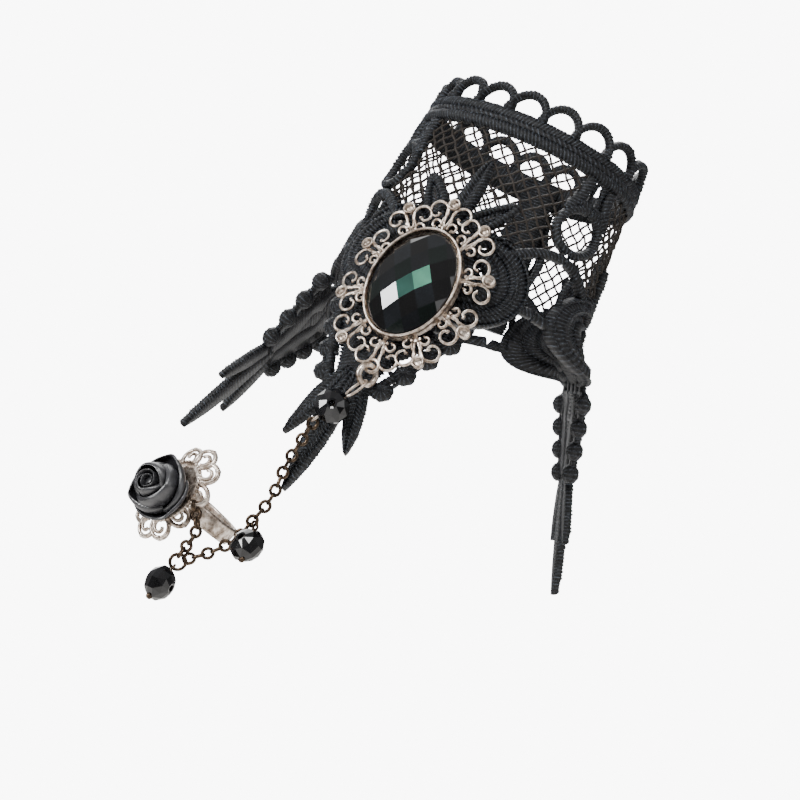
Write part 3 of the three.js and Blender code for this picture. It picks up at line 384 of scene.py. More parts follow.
# The place of one repeat's lace in the part, in millimetres.
# Below the level where it leaves the oval, it eases into a flat fall.
def onRepeat(row):
    start, fall, spread = (basis @ np.array(row[key], float) for key in ("start", "fall", "spread"))
    fall /= np.linalg.norm(fall)
    spread -= fall * spread.dot(fall)
    spread /= np.linalg.norm(spread)
    outward = np.cross(fall, spread)

    def place(flat):
        moved = flat + np.array([row["repeat"] * repeatWidth, 0, 0])
        worn = onWrist(moved)
        if row["leaves"] < dropSize["start"]:
            across, down, out = flat[:, 0:1], flat[:, 1:2], flat[:, 2:3]
            level = smoothstep(flat[:, 1], row["leaves"], dropSize["start"])
            side = 1 - smoothstep(np.abs(flat[:, 0]), dropSize["topHalfWidth"], midline)
            hanging = start + fall * (down - dropSize["start"]) + spread * across + outward * out
            worn += (hanging - worn) * (level * side)[:, None]
        return worn @ basis

    return place


def onWholeWrist(flat):
    return onWrist(flat) @ basis


# Flat lace. A flat mesh holds (across, -down, out) in metres, so that it isn't a mirror image.

def smoothPath(rows, closed=False):
    rows = np.array(rows, float)
    if closed:
        ring = np.vstack([rows[-1], rows, rows[0], rows[1]])
    else:
        ring = np.vstack([2 * rows[0] - rows[1], rows, 2 * rows[-1] - rows[-2]])
    share = np.linspace(0, 1, lace["curveSteps"] + 1)[:-1, None]
    pieces = []
    for i in range(1, len(ring) - 2):
        a, b, c, d = ring[i - 1:i + 3]
        pieces.append(0.5 * (2 * b + (c - a) * share + (2 * a - 5 * b + 4 * c - d) * share ** 2
                             + (3 * b - a - 3 * c + d) * share ** 3))
    pieces.append(ring[-2][None])
    return np.vstack(pieces)


def arcPath(centre, radii, start, end, steps, half):
    turn = np.linspace(start, end, steps + 1) * degrees
    path = np.stack([centre[0] + radii[0] * np.cos(turn), centre[1] + radii[1] * np.sin(turn)], axis=1)
    halves = np.interp(np.linspace(0, 1, steps + 1), np.linspace(0, 1, len(half)), half)
    return np.column_stack([path, halves])


def mirrored(path):
    return np.array(path, float) * np.array([-1, 1, 1])


def cordHeight(share):
    return np.sqrt(np.clip(1 - (0.97 * share) ** 2, 0, 1))


def leafHeight(share):
    return 0.5 + 0.5 * np.sin(math.pi * np.abs(share) ** 0.8) - 0.5 * np.abs(share) ** 6


# A strip of satin stitch along a path of (across, down, half width): rows of ridges, slanted over its crest.
# A veined strip slants both ways from a sunk midrib.
def stitchedStrip(patch, rows, low, high, closed=False, veined=False, slant=None, pitch=None, columns=9,
                  relief=None):
    slant = lace["slant"] if slant is None else slant
    relief = lace["relief"] if relief is None else relief
    path = smoothPath(rows, closed)
    lengths = np.concatenate([[0], np.cumsum(np.linalg.norm(np.diff(path[:, :2], axis=0), axis=1))])
    total = lengths[-1]
    count = 2 * max(2, round(total / (pitch or lace["stitchPitch"])))
    along = np.arange(count if closed else count + 1) * total / count
    shares = np.linspace(-1, 1, columns)
    height = leafHeight(shares) if veined else cordHeight(shares)
    ridge = np.where(np.arange(len(along)) % 2 == 0, 1.0, -1.0)
    ridge = ridge + threadJitter.uniform(-lace["jitter"], lace["jitter"], len(along))
    halves = np.interp(along, lengths, path[:, 2])
    lean = np.abs(shares) if veined else shares
    taken = along[:, None] + slant * lean[None, :] * halves[:, None]
    taken = taken % total if closed else np.clip(taken, 0, total)
    x = np.interp(taken, lengths, path[:, 0])
    y = np.interp(taken, lengths, path[:, 1])
    ahead = taken + lace["lookAhead"]
    behind = taken - lace["lookAhead"]
    if closed:
        ahead, behind = ahead % total, behind % total
    dx = np.interp(ahead, lengths, path[:, 0]) - np.interp(behind, lengths, path[:, 0])
    dy = np.interp(ahead, lengths, path[:, 1]) - np.interp(behind, lengths, path[:, 1])
    size = np.maximum(np.hypot(dx, dy), 1e-9)
    dx, dy = dx / size, dy / size
    offset = shares[None, :] * halves[:, None] * (1 + lace["ridgeSwell"] * ridge[:, None])
    thinning = np.minimum(halves[:, None] / max(halves.max() * lace["thinnedShare"], 0.01), 1)
    top = low + (high - low) * height[None, :] * thinning
    top = top + relief * ridge[:, None] * (1 - np.abs(shares[None, :]) ** 4) * np.minimum(halves[:, None], 1)
    top[:, 0] = low
    top[:, -1] = low
    stitches = np.broadcast_to(np.arange(len(along))[:, None] / 2, offset.shape)
    base = sum(len(block) for block in patch["points"])
    faces = rowFaces(len(along), columns, roundRows=closed, base=base)
    if not closed:
        faces.append(tuple(base + j for j in range(columns)))
        faces.append(tuple(base + (len(along) - 1) * columns + j for j in reversed(range(columns))))
    patch["points"].append(np.stack([x - dy * offset, y + dx * offset, top], axis=2).reshape(-1, 3))
    patch["stitch"].append(np.stack([stitches, offset], axis=2).reshape(-1, 2))
    patch["faces"].extend(faces)


threadJitter = np.random.default_rng(lace["seed"])


def newPatch():
    return {"points": [], "stitch": [], "faces": []}


def patchMesh(name, patch, material):
    points = np.vstack(patch["points"]) * np.array([1, -1, 1])
    mesh = builtMesh(name, points, patch["faces"], material)
    addStitches(mesh, np.vstack(patch["stitch"]))
    return mesh


# Geometry Nodes

def newTree(name, sockets):
    tree = bpy.data.node_groups.new(name, "GeometryNodeTree")
    tree.interface.new_socket("Geometry", in_out="INPUT", socket_type="NodeSocketGeometry")
    made = {}
    for label, kind, value in sockets:
        socket = tree.interface.new_socket(label, in_out="INPUT", socket_type=kind)
        if value is not None:
            socket.default_value = value
        made[label] = socket.identifier
    tree.interface.new_socket("Geometry", in_out="OUTPUT", socket_type="NodeSocketGeometry")
    return tree, made


def endTree(tree, geometry, material):
    real = addNode(tree, "GeometryNodeRealizeInstances", {"Geometry": geometry})
    smooth = addNode(tree, "GeometryNodeSetShadeSmooth", {"Geometry": real})
    painted = addNode(tree, "GeometryNodeSetMaterial", {"Geometry": smooth, "Material": material})
    addNode(tree, "NodeGroupOutput", {"Geometry": painted})


# The "thick" attribute of a point, times an input of the tree
def thickness(tree, times):
    thick = addNode(tree, "GeometryNodeInputNamedAttribute", {"Name": "thick"}, data_type="FLOAT")
    return addNode(tree, "ShaderNodeMath", {0: thick.outputs["Attribute"], 1: times}, operation="MULTIPLY")


# Round wire or thread along the edges of a mesh, as thick at each point as its attribute says
def makeWireTree():
    tree, inputs = newTree("wire along a path", [
        ("Thickness", "NodeSocketFloat", 1.0),
        ("Sides", "NodeSocketInt", 6),
        ("Finish", "NodeSocketMaterial", None),
    ])
    given = addNode(tree, "NodeGroupInput")
    line = addNode(tree, "GeometryNodeMeshToCurve", {"Mesh": given})
    section = addNode(tree, "GeometryNodeCurvePrimitiveCircle", {
        "Resolution": given.outputs["Sides"], "Radius": 0.5 * millimetre,
    })
    tube = addNode(tree, "GeometryNodeCurveToMesh", {
        "Curve": line, "Profile Curve": section, "Scale": thickness(tree, given.outputs["Thickness"]),
        "Fill Caps": True,
    })
    endTree(tree, tube, given.outputs["Finish"])
    return tree, inputs


# One shape on each point of a mesh, as large as its attribute says
def makeScatterTree():
    tree, inputs = newTree("shape on each point", [
        ("Shape", "NodeSocketObject", None),
        ("Size", "NodeSocketFloat", 1.0),
        ("Finish", "NodeSocketMaterial", None),
    ])
    given = addNode(tree, "NodeGroupInput")
    shape = addNode(tree, "GeometryNodeObjectInfo", {"Object": given.outputs["Shape"]})
    points = addNode(tree, "GeometryNodeMeshToPoints", {"Mesh": given})
    placed = addNode(tree, "GeometryNodeInstanceOnPoints", {
        "Points": points, "Instance": shape.outputs["Geometry"],
        "Scale": thickness(tree, given.outputs["Size"]),
    })
    endTree(tree, placed, given.outputs["Finish"])
    return tree, inputs


wireTree, wireInputs = makeWireTree()
scatterTree, scatterInputs = makeScatterTree()


def treeResult(mesh, tree, inputs, values):
    carrier = linked(mesh.name, mesh)
    modifier = carrier.modifiers.new("made", "NODES")
    modifier.node_group = tree
    for label, value in values.items():
        modifier[inputs[label]] = value
    return appliedMesh(carrier)


# Lines are lists of (x, y, z, thickness) rows in millimetres. A closed line joins its ends.
def wireMesh(name, lines, material, sides=8):
    points, edges, thick = [], [], []
    for row in lines:
        line = np.array(row["path"], float)
        start = len(points)
        points.extend((line[:, :3] * millimetre).tolist())
        thick.extend(line[:, 3].tolist())
        edges.extend((start + i, start + i + 1) for i in range(len(line) - 1))
        if row.get("closed"):
            edges.append((start + len(line) - 1, start))
    mesh = bpy.data.meshes.new(name)
    mesh.from_pydata(points, edges, [])
    mesh.attributes.new("thick", "FLOAT", "POINT").data.foreach_set("value", thick)
    return treeResult(mesh, wireTree, wireInputs, {"Thickness": 1.0, "Sides": sides, "Finish": material})


# A shape at each (x, y, z, size) row, in millimetres
def scatteredMesh(name, rows, shape, material):
    mesh = bpy.data.meshes.new(name)
    mesh.from_pydata([[value * millimetre for value in row[:3]] for row in rows], [], [])
    mesh.attributes.new("thick", "FLOAT", "POINT").data.foreach_set("value", [row[3] for row in rows])
    return treeResult(mesh, scatterTree, scatterInputs, {"Shape": shape, "Size": 1.0, "Finish": material})


def joinedMesh(name, parts):
    joined = bmesh.new()
    finishes = []
    for part in parts:
        finishes.extend(material for material in part.materials if material not in finishes)
        before = len(joined.faces)
        joined.from_mesh(part)
        joined.faces.ensure_lookup_table()
        for face in joined.faces[before:]:
            own = part.materials[min(face.material_index, len(part.materials) - 1)]
            face.material_index = finishes.index(own)
    mesh = bpy.data.meshes.new(name)
    bmesh.ops.recalc_face_normals(joined, faces=joined.faces)
    joined.to_mesh(mesh)
    joined.free()
    for material in finishes:
        mesh.materials.append(material)
    return mesh


def movedMesh(mesh, place):
    coordinates = np.zeros(len(mesh.vertices) * 3, np.float32)
    mesh.vertices.foreach_get("co", coordinates)
    points = coordinates.reshape(-1, 3).astype(float) / millimetre
    mesh.vertices.foreach_set("co", (place(points) * millimetre).astype(np.float32).ravel())
    mesh.update()
    return mesh


# The flat lace mesh, bent to its place in the part
def bentMesh(flatMesh, place):
    return movedMesh(flatMesh.copy(), lambda points: place(points * np.array([1, -1, 1])))


def addPiece(name, mesh, replaced, outward=True):
    if outward:
        cleaned(mesh, mesh)
    piece = linked(name, mesh)
    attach(piece, "root")
    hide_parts(*replaced)
    return piece


# A wound ball of thread, slightly flattened: its radius, its height, and the ripples of its windings
ball = {"radius": 0.5, "flatness": 0.84, "rings": 10, "sides": 28, "ripple": 0.07, "ripples": 7, "twist": 5}


def threadBall(name):
    rings, sides = ball["rings"], ball["sides"]
    pole = ball["radius"] * ball["flatness"]
    points, faces, stitch = [(0, 0, pole)], [], [(0, 0)]
    for i in range(1, rings):
        slope = math.pi * i / rings
        for j in range(sides):
            turn = 2 * math.pi * (j + 0.5 * (i % 2)) / sides
            winding = math.cos(ball["ripples"] * turn + ball["twist"] * slope)
            radius = ball["radius"] * (1 + ball["ripple"] * winding)
            height = ball["flatness"] * radius * math.cos(slope)
            points.append((*polar(radius * math.sin(slope), turn), height))
            stitch.append((12 * turn / (2 * math.pi), 2.2 * slope))
    points.append((0, 0, -pole))
    stitch.append((0, 0))
    last = len(points) - 1
    for j in range(sides):
        after = (j + 1) % sides
        faces.append((0, 1 + j, 1 + after))
        for i in range(rings - 2):
            a, b = 1 + i * sides, 1 + (i + 1) * sides
            faces.append((a + j, b + j, b + after, a + after))
        tail = 1 + (rings - 2) * sides
        faces.append((last, tail + after, tail + j))
    mesh = builtMesh(name, points, faces, embroideryThread)
    addStitches(mesh, stitch)
    return linked(name, mesh)


ballShape = threadBall("thread ball")


# The border: two corded rows on a ground of stitches, with a row of scalloped loops above

border = {
    "height": 6.4, "rowHalf": 1.5, "scallops": 17, "radius": 5.75, "scallopHeight": 5.9, "cord": 2.1,
    "foot": 0.8, "liftStep": 0.16, "endGap": 0.15, "columns": 25,
}
laceEnd = lace["repeats"] * repeatWidth / 2 - border["endGap"]


def borderPatch():
    patch = newPatch()
    columns = border["columns"]
    ends = np.linspace(-laceEnd, laceEnd, columns)

    def level(down, half):
        return np.column_stack([ends, np.full(columns, down), np.full(columns, half)])

    middle = -border["height"] / 2
    lowRow, highRow = -border["rowHalf"], border["rowHalf"] - border["height"]
    stitchedStrip(patch, level(middle, border["height"] / 2 - 0.1), 0.05, 1.25, relief=0.05, slant=0.2)
    stitchedStrip(patch, level(lowRow, border["rowHalf"]), 0.3, 2.15, slant=0.5)
    stitchedStrip(patch, level(highRow, border["rowHalf"]), 0.3, 2.15, slant=-0.5)
    stitchedStrip(patch, level(middle, 0.95), 0.9, 1.95, pitch=1.3, slant=0.9, relief=0.2)
    half = border["cord"] / 2
    pitch = lace["repeats"] * repeatWidth / border["scallops"]
    for i in range(border["scallops"]):
        centre = (-laceEnd + pitch * (i + 0.5), -border["height"] + border["foot"])
        radii = (border["radius"] - half, border["scallopHeight"] + border["foot"] - half)
        lift = border["liftStep"] if i % 2 == 0 else -border["liftStep"]
        path = arcPath(centre, radii, 180, 360, 14, [half * 0.9, half, half * 0.9])
        stitchedStrip(patch, path, 0.25 + lift, 2.1 + lift, slant=0.15)
    return patch


borderMesh = patchMesh("lace border", borderPatch(), embroideryThread)
addPiece("lace_border_stitched", bentMesh(borderMesh, onWholeWrist), ["lace_border"])
print("border made")


# One repeat of the lace: fine net with a sprig of veined leaves, side cords round the holes, and the rosette

net = {
    "mesh": 2.3, "thread": 0.54, "top": 0.0, "foot": 31.0, "wave": 0.14, "tuck": 0.7, "step": 0.35,
    "origin": 10, "waveRate": 1.9, "waveShift": 1.3, "weave": 0.16, "knot": 0.14, "knotRate": 5,
}
netEdge = {
    "down": [0, 5.5, 9.2, 12.5, 16.0, 20.0, 22.6, 25.5, 31.0],
    "inset": [3.0, 3.6, 5.4, 6.0, 5.2, 3.0, 6.4, 10.0, 12.0],
}
sprig = [
    {"foot": (0, 27), "tip": (0, 6.4), "half": 2.5, "open": False},
    {"foot": (2.2, 25.5), "tip": (10.4, 14.4), "half": 2.3, "open": True},
    {"foot": (-2.2, 25.5), "tip": (-10.4, 14.4), "half": 2.3, "open": True},
    {"foot": (2.0, 27.5), "tip": (13.6, 22.4), "half": 1.7, "open": False},
    {"foot": (-2.0, 27.5), "tip": (-13.6, 22.4), "half": 1.7, "open": False},
]
hole = {"diameter": 8.4, "level": 12.5, "ringWidth": 2.2, "archLevel": 20.2}
crescent = {
    "level": 34.0, "offset": 13.2, "halfWidth": 8.4, "halfHeight": 9.2, "width": 4.4, "innerShare": 0.44,
}
rosette = {"level": 36.0, "halfWidth": 6.5, "halfHeight": 9.6, "petals": 12}


def netLines():
    lines = []
    spacing = net["mesh"] * math.sqrt(2)
    for sign in (1, -1):
        for c in np.arange(-30, 31) * spacing:
            run = []
            for y in np.arange(net["top"], net["foot"], net["step"]):
                level = y - net["origin"]
                x = sign * level + c + net["wave"] * math.sin(net["waveRate"] * y + net["waveShift"] * c)
                half = midline - np.interp(y, netEdge["down"], netEdge["inset"]) + net["tuck"]
                if abs(x) < half:
                    weave = net["weave"] * sign * math.cos(math.pi * level / (spacing / 2) + c)
                    thick = net["thread"] * (1 + net["knot"] * math.sin(net["knotRate"] * y + c))
                    run.append((x, -y, lace["middle"] + weave, thick))
                elif run:
                    lines.append({"path": run})
                    run = []
            if run:
                lines.append({"path": run})
    return [row for row in lines if len(row["path"]) > 2]


leafSwell = ((0, 0.35), (0.15, 0.75), (0.38, 1.0), (0.65, 0.82), (0.85, 0.45), (1, 0.05))


def leafRows(foot, tip, half):
    foot, tip = np.array(foot, float), np.array(tip, float)
    return [(*(foot + (tip - foot) * share), half * width) for share, width in leafSwell]


# The outline of an open leaf, as a cord that goes up one side and down the other
def leafRim(foot, tip, half, cord):
    foot, tip = np.array(foot, float), np.array(tip, float)
    way = (tip - foot) / np.linalg.norm(tip - foot)
    side = np.array([-way[1], way[0]])
    swell = [(0, 0.2), (0.2, 0.75), (0.45, 1.0), (0.75, 0.62), (0.93, 0.2)]
    up = [foot + (tip - foot) * share + side * half * width for share, width in swell]
    back = [foot + (tip - foot) * share - side * half * width for share, width in reversed(swell)]
    return [(*point, cord) for point in up] + [(*tip, cord * 0.3)] + [(*point, cord) for point in back]


def sidePaths():
    edge = midline - 0.15
    ringRadius = (hole["diameter"] + hole["ringWidth"]) / 2
    arch = hole["archLevel"]
    radii = (ringRadius, ringRadius)
    ring = arcPath((midline, hole["level"]), radii, 91.7, 268.3, 18, [hole["ringWidth"] / 2])
    return [
        {"rows": ring, "low": 0.5, "high": 2.3},
        {"rows": [(midline - 3.2, 0.2, 1.5), (midline - 3.3, 3.2, 1.5), (midline - 4.1, 6.6, 1.5),
                  (midline - 5.4, 9.4, 1.1)], "low": 0.5, "high": 2.2},
        {"rows": [(edge, 6.6, 1.3), (midline - 3.4, 6.2, 1.2)], "low": 0.55, "high": 2.0},
        {"rows": [(midline - 1.4, 0.3, 1.3), (midline - 1.2, 3.0, 0.5), (midline - 1.1, 6.4, 1.0)],
         "low": 0.45, "high": 1.3},
        {"rows": [(edge, arch - 0.2, 1.2), (midline - 3.2, arch + 0.4, 1.25),
                  (midline - 6.4, arch + 2.0, 1.25), (midline - 9.4, arch + 4.2, 1.2),
                  (midline - 12.6, arch + 6.4, 1.0)], "low": 0.5, "high": 2.4},
        {"rows": [(midline - 4.6, arch + 1.9, 0.6), (midline - 3.8, arch + 6, 0.7), (midline - 4.2, 32, 0.7)],
         "low": 0.6, "high": 1.6},
        {"rows": [(edge, 34.4, 1.3), (midline - 2.2, 34.8, 1.2), (midline - 4.0, 35.0, 1.3)],
         "low": 0.5, "high": 2.0},
    ]


def crescentPaths():
    level, width, share = crescent["level"], crescent["width"] / 2, crescent["innerShare"]
    wide, tall = crescent["halfWidth"], crescent["halfHeight"]
    centre = (crescent["offset"] - 4.4, level)
    innerCentre = (crescent["offset"] - 5.2, level)
    inner = (wide * share + 2, tall * share + 1.2)
    outer = (wide + 2.2, tall)
    swell = [0.3, 0.78, 1.0, 1.0, 1.0, 0.78, 0.3]
    rim = [0.35, 0.5, 0.55, 0.55, 0.55, 0.5, 0.35]
    wider = (outer[0] + width - 0.35, outer[1] + width - 0.35)
    ground = (outer[0] - 3.0, outer[1] - 2.6)
    crest = (outer[0] - 0.5, outer[1] - 0.5)
    return [
        {"rows": arcPath(centre, outer, -105, 105, 24, [s * width for s in swell]),
         "low": 0.45, "high": 2.35},
        {"rows": arcPath(innerCentre, inner, -100, 100, 20, [s * width * 0.87 for s in swell]),
         "low": 0.42, "high": 2.2},
        {"rows": arcPath(centre, ground, -96, 96, 24, [0.5, 1.9, 2.1, 2.1, 2.1, 1.9, 0.5]),
         "low": 0.4, "high": 1.2},
        {"rows": arcPath(centre, wider, -98, 98, 24, rim), "low": 0.4, "high": 2.5},
        {"rows": arcPath(centre, crest, -92, 92, 24, rim), "low": 1.2, "high": 2.85},
    ]


def panelPatch():
    patch = newPatch()
    for row in sprig:
        foot, tip, half = row["foot"], row["tip"], row["half"]
        if row["open"]:
            stitchedStrip(patch, leafRim(foot, tip, half - 0.55, 0.95), 0.5, 2.4, slant=0.2)
            stitchedStrip(patch, leafRows(foot, tip, half * 0.55), 0.6, 1.5, veined=True)
        else:
            stitchedStrip(patch, leafRows(foot, tip, half), 0.6, 2.5, veined=True, slant=0.8, columns=13)
    for paths, slant in ((sidePaths(), None), (crescentPaths(), 0.35)):
        for row in paths:
            for rows in (row["rows"], mirrored(row["rows"])):
                stitchedStrip(patch, rows, row["low"], row["high"], slant=slant)
    below = dropSize["start"] + 1.2
    for x, half in ((0, 1.6), (4.6, 1.3), (-4.6, 1.3), (9.6, 1.2), (-9.6, 1.2)):
        tie = [(x * 0.9, below - 5.5, half), (x, below - 2.5, half), (x * 1.04, below, half)]
        stitchedStrip(patch, tie, 0.5, 2.0)
    level, wide, tall = rosette["level"], rosette["halfWidth"], rosette["halfHeight"]
    ground = crescent["offset"] - 2
    oval = [(0, level - 0.9 + tall * math.sin(a), ground * max(math.cos(a), 0.06))
            for a in np.linspace(-1.5, 1.5, 15)]
    stitchedStrip(patch, oval, 0.4, 1.5, slant=0.1, columns=15, relief=0.07)
    for share in (0.95, 0.55):
        ring = arcPath((0, level), (wide * share, tall * share), 0, 360, 24, [1.0])[:-1]
        stitchedStrip(patch, ring, 0.9, 2.8, closed=True, slant=0.3)
    for i in range(rosette["petals"]):
        turn = 2 * math.pi * i / rosette["petals"]
        way = polar(1, turn)
        foot, tip = way * (1.2, 2.0) + (0, level), way * (wide * 0.8, tall * 0.8) + (0, level)
        stitchedStrip(patch, leafRows(foot, tip, 1.1), 0.8, 2.6, veined=True)
    return patch


def panelMesh():
    stitched = patchMesh("lace panel", panelPatch(), embroideryThread)
    mesh = wireMesh("net", netLines(), netThread, sides=5)
    balls = scatteredMesh("rosette balls", [(0, -rosette["level"], 1.7, 3.4)], ballShape, embroideryThread)
    return joinedMesh("lace panel", [stitched, mesh, balls])


# The drop below a repeat: an openwork body, rows of thread balls, and three veined leaves

def dropRows():
    top = dropSize["start"] + dropSize["gap"]
    neck = dropSize["neckLevel"]
    height = neck - top
    wide, narrow = dropSize["topHalfWidth"], dropSize["neckHalfWidth"]
    rail = [(wide - 2, top + 0.9, 1.0), (wide - 3.4, top + height * 0.4, 1.0), (narrow, neck, 0.9)]
    cross = [(0, top + 1.1, 1.05), (wide - 1.4, top + 1.1, 0.9)]
    inner = [(3.1, top + 0.6, 3.0), (4.3, top + 3.6, 2.3), (4.5, top + 6.2, 1.9), (3.5, top + 9.4, 2.6),
             (2.6, top + 13.5, 2.5), (2.0, neck - 1, 2.1)]
    balls = []
    for i in range(dropSize["balls"]):
        share = i * dropSize["ballPitch"] / height
        x = wide - 0.6 - (wide - narrow - 1.6) * share * 1.1
        balls.append((x, top + 3.2 + share * height))
    edgeCord = [(x + 0.4, y, 0.45) for x, y in balls]
    edgeCord = [(wide - 1.0, top + 0.8, 0.45)] + edgeCord + [(narrow - 0.4, neck, 0.5)]
    ties = [[(x, y, 0.5), (x - 3.2, y + 0.8, 0.5)] for x, y in balls]
    crossings = [(5.0, 3.4, 9.4, 7.0), (8.6, 3.2, 4.4, 9.0), (4.0, 8.6, 7.0, 12.4), (6.8, 9.6, 2.6, 14.0)]
    lattice = [[(a, top + b, 0.5), (c, top + d, 0.5)] for a, b, c, d in crossings]
    return {"rail": rail, "cross": cross, "inner": inner, "balls": balls, "edge": edgeCord, "ties": ties,
            "lattice": lattice, "top": top, "neck": neck}


def dropPatch(rows):
    patch = newPatch()
    neck, top = rows["neck"], rows["top"]
    ground = [(0, top, 9.6), (0, top + 4, 9.2), (0, top + 9, 8.0), (0, top + 14, 5.8), (0, neck, 3.6)]
    stitchedStrip(patch, ground, 0.5, 1.3, slant=0.1, columns=15, relief=0.07)
    for turned in (lambda path: np.array(path, float), mirrored):
        stitchedStrip(patch, turned(rows["rail"]), 0.5, 2.1)
        stitchedStrip(patch, turned(rows["cross"]), 0.55, 2.2)
        stitchedStrip(patch, turned(rows["inner"]), 0.45, 1.8, slant=0.4, columns=13)
        stitchedStrip(patch, turned(rows["edge"]), 0.6, 1.5)
        for path in rows["ties"] + rows["lattice"]:
            stitchedStrip(patch, turned(path), 0.6, 1.4)
        lowLeaf = leafRows((2.6, top + 13.6), (10.0, top + 2.8), 2.1)
        stitchedStrip(patch, turned(lowLeaf), 0.5, 2.0, veined=True, slant=0.8, columns=13)
        sideTip = (dropSize["sideLeafSpread"], neck - 2 + dropSize["sideLeafLength"])
        leafPath = leafRows((1.5, neck - 4.5), sideTip, 2.15)
        stitchedStrip(patch, turned(leafPath), 0.5, 2.35, veined=True, slant=0.9, columns=13)
        stitchedStrip(patch, turned(leafRim((1.5, neck - 4.5), sideTip, 1.75, 0.42)), 0.6, 2.1, slant=0.1)
    tip = (0, neck + dropSize["leafLength"])
    stitchedStrip(patch, leafRows((0, neck - 3), tip, 2.7), 0.45, 2.55, veined=True, slant=0.9, columns=15)
    stitchedStrip(patch, leafRim((0, neck - 3), tip, 2.25, 0.45), 0.6, 2.3, slant=0.1)
    return patch


def dropMesh():
    rows = dropRows()
    stitched = patchMesh("lace drop", dropPatch(rows), embroideryThread)
    size = dropSize["ballDiameter"]
    places = [(side * x, -y, lace["middle"], size) for side in (1, -1) for x, y in rows["balls"]]
    balls = scatteredMesh("drop balls", places, ballShape, embroideryThread)
    return joinedMesh("lace drop", [stitched, balls])


flatPanel = panelMesh()
flatDrop = dropMesh()
for name, row in laceRepeats.items():
    place = onRepeat(row)
    addPiece(f"lace_panel_{name}_stitched", bentMesh(flatPanel, place), [f"lace_panel_{name}"])
    addPiece(f"lace_drop_{name}_stitched", bentMesh(flatDrop, place), [f"lace_drop_{name}"])
print("panels and drops made")

# The closing tape under the seam, on the inside of the cuff
clasp = {"half": 4.5, "top": -5.6, "bottom": 32.0, "low": -1.55, "high": -0.35}


def claspMesh():
    patch = newPatch()
    seam = lace["repeats"] * repeatWidth / 2
    rows = [(seam, y, clasp["half"]) for y in np.linspace(clasp["top"], clasp["bottom"], 12)]
    stitchedStrip(patch, rows, clasp["low"], clasp["high"], slant=0.0, pitch=0.7, relief=0.06, columns=13)
    return patchMesh("closing tape", patch, embroideryThread)


addPiece("closing_tape", bentMesh(claspMesh(), onWholeWrist), ["clasp"])
print("tape made")


# The brooch, in a frame of its own: x across, y up the cuff, z out of the lace

stone = {
    "width": 18.0, "length": 25.0, "base": 1.1, "girdleLow": 1.5, "girdleHigh": 2.1, "crown": 5.7,
    "facetSide": 4.0, "facetOffset": (0.35, -2.35), "facetsEachWay": 5, "cutMargin": (2.2, 3), "sides": 48,
}
brooch = {
    "across": 1.7, "down": 41.2, "out": 3.4, "turn": -2.0, "lift": 3.0, "units": 10, "firstUnit": -4.0,
    "halfWidth": 15.6, "halfLength": 20.4, "bezelHalfWidth": 10.0, "bezelHalfLength": 13.5, "sideDroop": 1.7,
    "wire": 0.8, "cupDiameter": 2.8, "cupHeight": 1.5, "eyeletHole": 2.4, "eyeletWire": 0.55,
    "footInset": 0.3, "floorInset": 0.8, "mostDroop": 1.3,
    "bezelProfile": [
        (-0.95, 0.05), (0.1, 0.05), (0.15, 0.5), (-0.12, 0.9), (-0.1, 1.9), (0.0, 2.2), (-0.04, 2.5),
        (-0.3, 2.66), (-0.56, 2.5), (-0.62, 2.2), (-0.72, 0.9), (-0.95, 0.8),
    ],
}


def broochFrame():
    place = np.array([[brooch["across"], brooch["down"], 0.0], [brooch["across"], brooch["down"], 1.0]])
    low, high = onWrist(place)
    outward = Vector(high - low)
    up = Vector((0, 0, -1))
    up = (up - outward * up.dot(outward)).normalized()
    up.rotate(Matrix.Rotation(brooch["turn"] * degrees, 3, outward))
    side = up.cross(outward)
    lift = Matrix.Rotation(-brooch["lift"] * degrees, 3, side)
    outward, up = lift @ outward, lift @ up
    origin = onWrist(np.array([[brooch["across"], brooch["down"], brooch["out"]]]))[0]
    ways = np.array([side, up, outward])
    return lambda points: (origin + points @ ways) @ basis


def drooped(points):
    edge = brooch["bezelHalfWidth"]
    beyond = np.clip((np.abs(points[:, 0]) - edge) / (brooch["halfWidth"] - edge), 0, brooch["mostDroop"])
    lower = points.copy()
    lower[:, 2] -= brooch["sideDroop"] * beyond ** 1.5
    return lower


placeBrooch = broochFrame()


# One scroll beside a stem: a big outer curl that winds in to a ball, a neck and a small inner curl
scroll = {
    "outer": (2.85, 4.35), "outerRadius": 2.22, "inner": (1.9, 1.55), "innerRadius": 1.12,
    "outerTurns": (-150, 212), "innerTurns": (170, -100), "unitLength": 6.6, "spread": 1.02,
    "stem": [(0.1, 1.0, 0.8), (0.42, 2.2, 0.75), (0.62, 3.4, 0.7), (0.9, 4.6, 0.7), (1.1, 5.6, 0.7)],
    "grains": [(0, 1.7, 1.35), (0.9, 1.3, 0.8), (-0.9, 1.3, 0.8)],
}


def scrollLine():
    line = []
    start, end = scroll["outerTurns"]
    for angle in np.linspace(start, end, 30):
        share = (angle - start) / (end - start)
        radius = scroll["outerRadius"] * (0.26 + 0.74 * min(share / 0.6, 1) ** 0.85)
        thick = 1.35 if share < 0.04 else 0.72 + 0.22 * share
        line.append((*(np.array(scroll["outer"]) + polar(radius, angle * degrees)), thick))
    start, end = scroll["innerTurns"]
    for angle in np.linspace(start, end, 20):
        share = (angle - start) / (end - start)
        radius = scroll["innerRadius"] * (1 - 0.6 * share ** 2)
        thick = 1.3 if share > 0.94 else 0.94 - 0.2 * share
        line.append((*(np.array(scroll["inner"]) + polar(radius, angle * degrees)), thick))
    return np.array(line)


# A small turned part from its profile of (radius, height), to be scattered
def turnedShape(name, profile, sides, material):
    def section(turn):
        return [(*polar(r, turn), z) for r, z in profile]

    mesh = sweptMesh(name, sides, section, material, roundEnds=False)
    return linked(name, cleaned(mesh, mesh, merge=1e-7))


